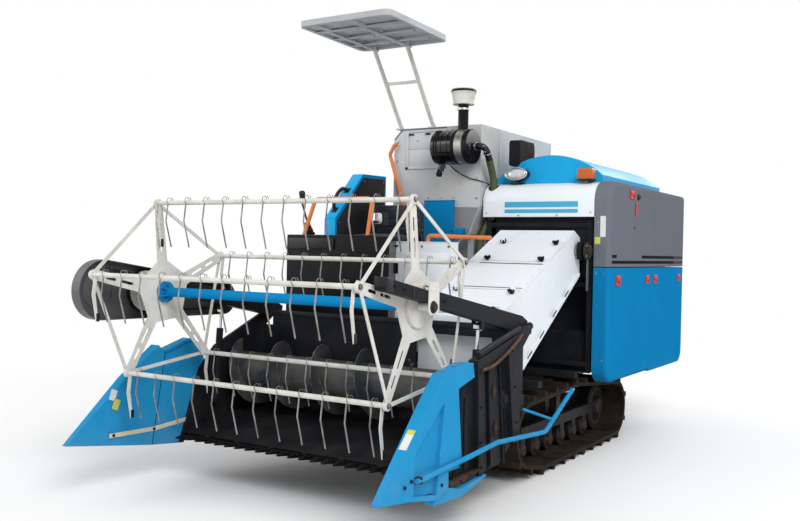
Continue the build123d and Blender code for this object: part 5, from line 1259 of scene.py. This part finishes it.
# black star knobs that hold the feeder's lids
feederKnobs = {"places": [(0.358, 0.158), (0.749, 0.147), (0.357, -0.082), (0.747, -0.089), (0.352, -0.5),
    (0.738, -0.51), (0.735, -0.725)], "radius": 0.024, "lobes": 5, "tall": 0.03}
outline = []
for i in range(40):
    turn = 2 * pi * i / 40
    reach = feederKnobs["radius"] * (0.8 + 0.2 * cos(feederKnobs["lobes"] * turn))
    outline.append((reach * cos(turn), reach * sin(turn)))
knob = plate("knobHead", outline, "z", 0.01, feederKnobs["tall"], 0.004, 3)
neck = turned("knobNeck", [(0, 0.0145), (0.01, 0.012), (0.014, 0.012)], (0, 0, 0), (0, 0, 1), 24)
top = turned("knobTop", [(0, 0.01), (0.0025, 0.0085), (0.003, 0)], (0, 0, feederKnobs["tall"] - 0.0006),
    (0, 0, 1), 20)
knob = join("feederKnob", [knob, neck, top])
turns = [at((x, y, footZ + (y - foot) * tan(feederLean) + 0.004), feederLean) @ at((0, 0, 0), 0.7 * i, "Z")
    for i, (x, y) in enumerate(feederKnobs["places"])]
dress(spread("feederKnobs", knob, turns), "blackGloss", "header")
# dark lines between the lids and the bands that cross the feeder: the joints, darkened further as painted shade
# along the bands' edges
made("lidJointsAndShade", [layOnFeeder(slab("joint", (feeder["lidX"][0], along - 0.0016, 0.0005),
    (feeder["lidX"][1] - 0.012, along + 0.0016, 0.0042), 0)) for along in (0.295, 0.327, 0.674, 0.706)],
    "blackPlastic", "header")
# sleeve of the drive shaft and the strap that hangs beside it
dress(turned("shaftSleeve", [(0, 0.05), (0.004, 0.052), (0.012, 0.052), (0.014, 0.034), (0.03, 0.033),
    (0.032, 0.024)], (0.795, *feeder["hinge"]), (1, 0, 0), 36), "wornSteel")
made("hangingStrap", [slab("strap", (0.846, 0.462, 1.141), (0.852, 0.498, 1.392), 0.002),
    bar("strapEye", (0.84, 0.48, 1.385), (0.858, 0.48, 1.385), 0.012, 16)], "greyPaint")
print("feeder knobs and shaft made")

# tracks: caps of the rollers, hubs with bolts, sprocket teeth, spring tensioner
track = {"centres": (0.652, -0.452), "wheels": [(-0.43, 0.28, 0.18), (1.16, 0.235, 0.18)],
    "rollers": [-0.21, 0.01, 0.23, 0.45, 0.67, 0.89], "rollerZ": 0.125, "carrier": (0.37, 0.435, 0.055),
    "wheelHalf": 0.035}
for side, centre in zip(("Left", "Right"), track["centres"]):
    pieces = []
    for facing in (-1, 1):
        face = centre + facing * track["wheelHalf"]
        for y in track["rollers"]:
            pieces.append(turned("rollerCap", [(0, 0.058), (0.003, 0.057), (0.003, 0.046), (0.01, 0.04),
                (0.02, 0.036), (0.024, 0.028), (0.024, 0.018), (0.021, 0.016), (0.021, 0)],
                (face, y, track["rollerZ"]), (facing, 0, 0), 26))
        y, z, radius = track["wheels"][1]
        pieces.append(turned("idlerHub", [(0, 0.15), (0.004, 0.148), (0.004, 0.118), (-0.002, 0.112),
            (-0.002, 0.07), (0.01, 0.062), (0.026, 0.056), (0.03, 0.046), (0.03, 0.028), (0.026, 0.026),
            (0.026, 0)], (face, y, z), (facing, 0, 0), 40))
        y, z, radius = track["wheels"][0]
        pieces.append(turned("sprocketHub", [(0, 0.12), (0.006, 0.118), (0.006, 0.09), (0.018, 0.084),
            (0.03, 0.078), (0.034, 0.064), (0.034, 0.04), (0.028, 0.036), (0.028, 0)], (face, y, z),
            (facing, 0, 0), 40))
        y, z, radius = track["carrier"]
        pieces.append(turned("carrierCap", [(0, 0.046), (0.004, 0.044), (0.008, 0.03), (0.02, 0.028),
            (0.02, 0)], (face, y, z), (facing, 0, 0), 24))
    made("wheelHubs" + side, pieces, "castIron")
    pieces = []
    for facing in (-1, 1):
        face = centre + facing * track["wheelHalf"]
        y, z, radius = track["wheels"][0]
        pieces.append(bolts("hubBolts", circle(face + facing * 0.006, y, z, 0.104, 8), (facing, 0, 0), 0.018))
        y, z, radius = track["wheels"][1]
        pieces.append(bolts("hubBolts", circle(face + facing * 0.01, y, z, 0.064, 6), (facing, 0, 0), 0.014))
    made("wheelBolts" + side, pieces, "rustySteel")
    # sprocket teeth round the drive wheel
    y, z, radius = track["wheels"][0]
    tooth = plate("tooth", [(radius - 0.014, -0.02), (radius - 0.002, -0.015), (radius - 0.0005, -0.006),
        (radius - 0.0005, 0.006), (radius - 0.002, 0.015), (radius - 0.014, 0.02)], "x",
        centre - track["wheelHalf"] - 0.01, centre + track["wheelHalf"] + 0.01, 0.002)
    dress(spread("sprocketTeeth" + side, tooth, [at((0, y, z), 2 * pi * i / 12) for i in range(12)]),
        "castIron")
    # spring tensioner along the beam
    pieces = [bar("tensioner", (centre, 0.98, 0.236), (centre, 1.13, 0.236), 0.024, 24)]
    pieces.append(moved(coil("spring", 0.038, 0.0065, 6, 0.02, 16), at((centre, 1.035, 0.236), pi / 2, "Z")))
    made("tensioner" + side, pieces, "castIron")
print("track details made")

# gearbox, axle tubes, tie bars, plates and hoses between the rails
under = {"gearboxX": (-0.11, 0.3), "gearboxY": (-0.54, -0.18), "gearboxZ": (0.18, 0.4)}
pieces = [slab("gearbox", (under["gearboxX"][0], under["gearboxY"][0], under["gearboxZ"][0]),
    (under["gearboxX"][1], under["gearboxY"][1], under["gearboxZ"][1] - 0.002), 0.03, 4)]
for x in (-0.02, 0.09, 0.2):
    pieces.append(slab("gearboxRib", (x - 0.008, under["gearboxY"][0] - 0.01, under["gearboxZ"][0] + 0.03),
        (x + 0.008, under["gearboxY"][1] + 0.01, under["gearboxZ"][1] - 0.03), 0.004))
for low, high in ((-0.4, -0.1), (0.29, 0.6)):
    pieces.append(bar("axleTube", (low, -0.43, 0.28), (high, -0.43, 0.28), 0.062, 32))
    pieces.append(turned("axleFlange", [(0, 0.062), (0, 0.098), (0.018, 0.098), (0.018, 0.062)],
        (high - 0.03 if low < 0 else low + 0.012, -0.43, 0.28), (1, 0, 0), 32))
made("gearbox", pieces, "castIron")
screws("gearboxBolts", [(x, under["gearboxY"][0] - 0.001, z) for x in (-0.07, 0.035, 0.145, 0.26)
    for z in (0.215, 0.365)], (0, -1, 0), 0.017, "rustySteel")
pieces = [slab("skidFront", (-0.23, -0.545, 0.395), (0.43, -0.16, 0.402), 0.003)]
for y in (0.06, 0.42, 0.9, 1.3, 1.7):
    pieces.append(slab("tieBar", (-0.15, y - 0.03, 0.408), (0.35, y + 0.03, 0.47), 0.006))
for x in (-0.15, 0.35):
    pieces.append(slab("railFoot", (x - 0.036, -0.1, 0.395), (x + 0.036, 0.02, 0.402), 0.003))
made("underPlates", pieces, "castIron")
runs = [[(0.3, -0.52, 0.5), (0.18, -0.545, 0.44), (0.06, -0.545, 0.455), (0.02, -0.5, 0.56)],
    [(0.42, -0.48, 0.505), (0.48, -0.5, 0.42), (0.46, -0.3, 0.38), (0.44, 0.1, 0.385)],
    [(-0.24, -0.5, 0.56), (-0.26, -0.53, 0.46), (-0.18, -0.52, 0.42), (-0.12, -0.44, 0.405)]]
made("underPipes", [pipe("underPipe", run, 0.01, 0.06, 3, 5) for run in runs], "blackPlastic")
print("under-structure made")

# thresher front: frames behind the feeder, drive pulleys on its left side
pieces = [slab("frontPost", (x - 0.02, 0.545, 0.56), (x + 0.02, 0.5595, 1.64), 0.003) for x in (0.046, 0.84)]
for z in (0.62, 1.18, 1.6):
    pieces.append(slab("frontTie", (0.03, 0.548, z - 0.018), (0.86, 0.5595, z + 0.018), 0.003))
made("thresherFrames", pieces, "blackPaint")
pieces = [turned("drivePulley", [(0, 0.02), (0, 0.12), (0.005, 0.126), (0.01, 0.112), (0.02, 0.112),
    (0.025, 0.126), (0.03, 0.12), (0.03, 0.032), (0.044, 0.03), (0.044, 0)], (0.884, y, z), (1, 0, 0), 44)
    for y, z in ((1.15, 1.22), (1.95, 1.16))]
pieces.append(turned("drivePulley", [(0, 0.02), (0, 0.18), (0.005, 0.186), (0.01, 0.172), (0.02, 0.172),
    (0.025, 0.186), (0.03, 0.18), (0.03, 0.04), (0.044, 0.034), (0.044, 0)], (0.884, 1.55, 0.85), (1, 0, 0),
    52))
made("thresherPulleys", pieces, "castIron")
print("thresher front made")

# rear hood: folds, bolts, two lamps
hood = {"y": 2.389, "x": (0.05, 0.86)}
made("hoodFolds", [slab("hoodFold", (hood["x"][0] - 0.001, hood["y"] - 0.004, z - 0.008),
    (hood["x"][1] + 0.001, hood["y"] - 0.0005, z + 0.008), 0.0015) for z in (1.2, 1.62)], "blackPaint")
screws("hoodBolts", [(x, hood["y"] - 0.0052, 1.78) for x in (0.1, 0.28, 0.455, 0.63, 0.81)], (0, 1, 0), 0.009)
made("rearLamps", [slab("rearLamp", (x - 0.045, 2.3865, 1.66), (x + 0.045, 2.3885, 1.72), 0.001)
    for x in (0.13, 0.78)], "redPlastic")
print("rear details made")

# bagging deck: bars and latches; gates of the outlets
deck = {"x": (-0.912, -0.892), "y": (0.53, 1.79), "z": (0.61, 1.06)}
pieces = []
for i in range(7):
    z = deck["z"][0] + 0.045 + i * 0.06
    pieces.append(slab("deckBar", (deck["x"][1] - 0.001, deck["y"][0] + 0.03, z - 0.004),
        (deck["x"][1] + 0.0035, deck["y"][1] - 0.03, z + 0.004), 0.0015))
made("deckBars", pieces, "blackPaint", "bagging_deck")
made("deckLatches", [slab("deckLatch", (deck["x"][0] - 0.01, y - 0.02, 1.01), (deck["x"][0], y + 0.02, 1.05),
    0.003) for y in (0.62, 1.7)], "wornSteel", "bagging_deck")
pieces = []
for y in (0.8, 1.15, 1.5):
    pieces.append(slab("gate", (-0.935, y - 0.05, 1.165), (-0.9285, y + 0.05, 1.245), 0.003))
    pieces.append(bar("gatePull", (-0.934, y, 1.205), (-0.956, y, 1.205), 0.006, 14))
    pieces.append(bar("gateKnob", (-0.954, y, 1.205), (-0.968, y, 1.205), 0.012, 18))
made("outletGates", pieces, "orangePaint")
print("bagging details made")

# dark sheets inside each belt loop, held to the beam: painted shade for the loop's shaded inside
for side, centre in zip(("Left", "Right"), track["centres"]):
    outline = []
    for (y, z, radius), start in ((track["wheels"][1], -90), (track["wheels"][0], 90)):
        for i in range(13):
            turn = radians(start + 15 * i)
            outline.append((y + 0.128 * cos(turn), z + 0.006 + 0.128 * sin(turn)))
    inner = centre - 0.04 if side == "Left" else centre - 0.02
    pieces = [plate("loopShadeSheet", outline, "x", inner - 0.004, inner, 0.001)]
    for y in (-0.1, 0.34, 0.78):
        pieces.append(slab("sheetLug", (inner - 0.01, y - 0.03, 0.265), (centre + 0.03, y + 0.03, 0.28), 0.003))
    made("loopShadeSheets" + side, pieces, "loopShadeDark")
print("track inner sheets made")

# black glands over the top of the reel's lift barrels
gland = {"foot": (-1.335, 0.43), "eye": (-1.29, 1.002), "x": 0.91, "barrelShare": 0.75}
for name, side in (("left", 1), ("right", -1)):
    foot, eye = Vector((side * gland["x"], *gland["foot"])), Vector((side * gland["x"], *gland["eye"]))
    mouth = foot + (eye - foot).normalized() * ((eye - foot).length * gland["barrelShare"])
    ring = turned("ring", [(-0.07, 0.0192), (-0.068, 0.0215), (0.016, 0.0215), (0.022, 0.0205), (0.024, 0.016),
        (0.024, 0.0105)], mouth, eye - mouth, 26)
    dress(ring, "blackPaint", "reel_barrel_" + name).name = "liftGland" + name.capitalize()
print("lift glands made")

# kick plate below the service box
dress(slab("serviceKick", (-0.25, -0.3012, 0.645), (0.203, -0.2998, 0.715), 0.0004), "blackPaint")
# lever with a ball on the service box
made("sideLever", [bar("leverRod", (-0.06, -0.25, 1.457), (-0.062, -0.25, 1.52), 0.006, 14),
    turned("leverBall", [(0, 0.006), (0.004, 0.014), (0.014, 0.018), (0.024, 0.014), (0.028, 0.0)],
    (-0.062, -0.25, 1.516), (0, 0, 1), 20)], "blackPlastic")
# painted shade on the lower front of the tank, and the dark gable edge of the tank
dress(plate("tankLowerShade", [(-0.762, 1.731), (-0.012, 1.731), (-0.088, 1.537), (-0.5, 1.257), (-0.762, 1.16)],
    "y", tank["front"] - 0.0012, tank["front"] + 0.0003, 0), "tankShade")
dress(plate("tankGable", [(-0.763, 2.262), (-0.688, 2.338), (-0.29, 2.338), (-0.29, 2.348), (-0.692, 2.348),
    (-0.763, 2.274)], "y", tank["front"] - 0.0045, tank["front"] - 0.0025, 0.0005), "greyPaint")
print("service front made")
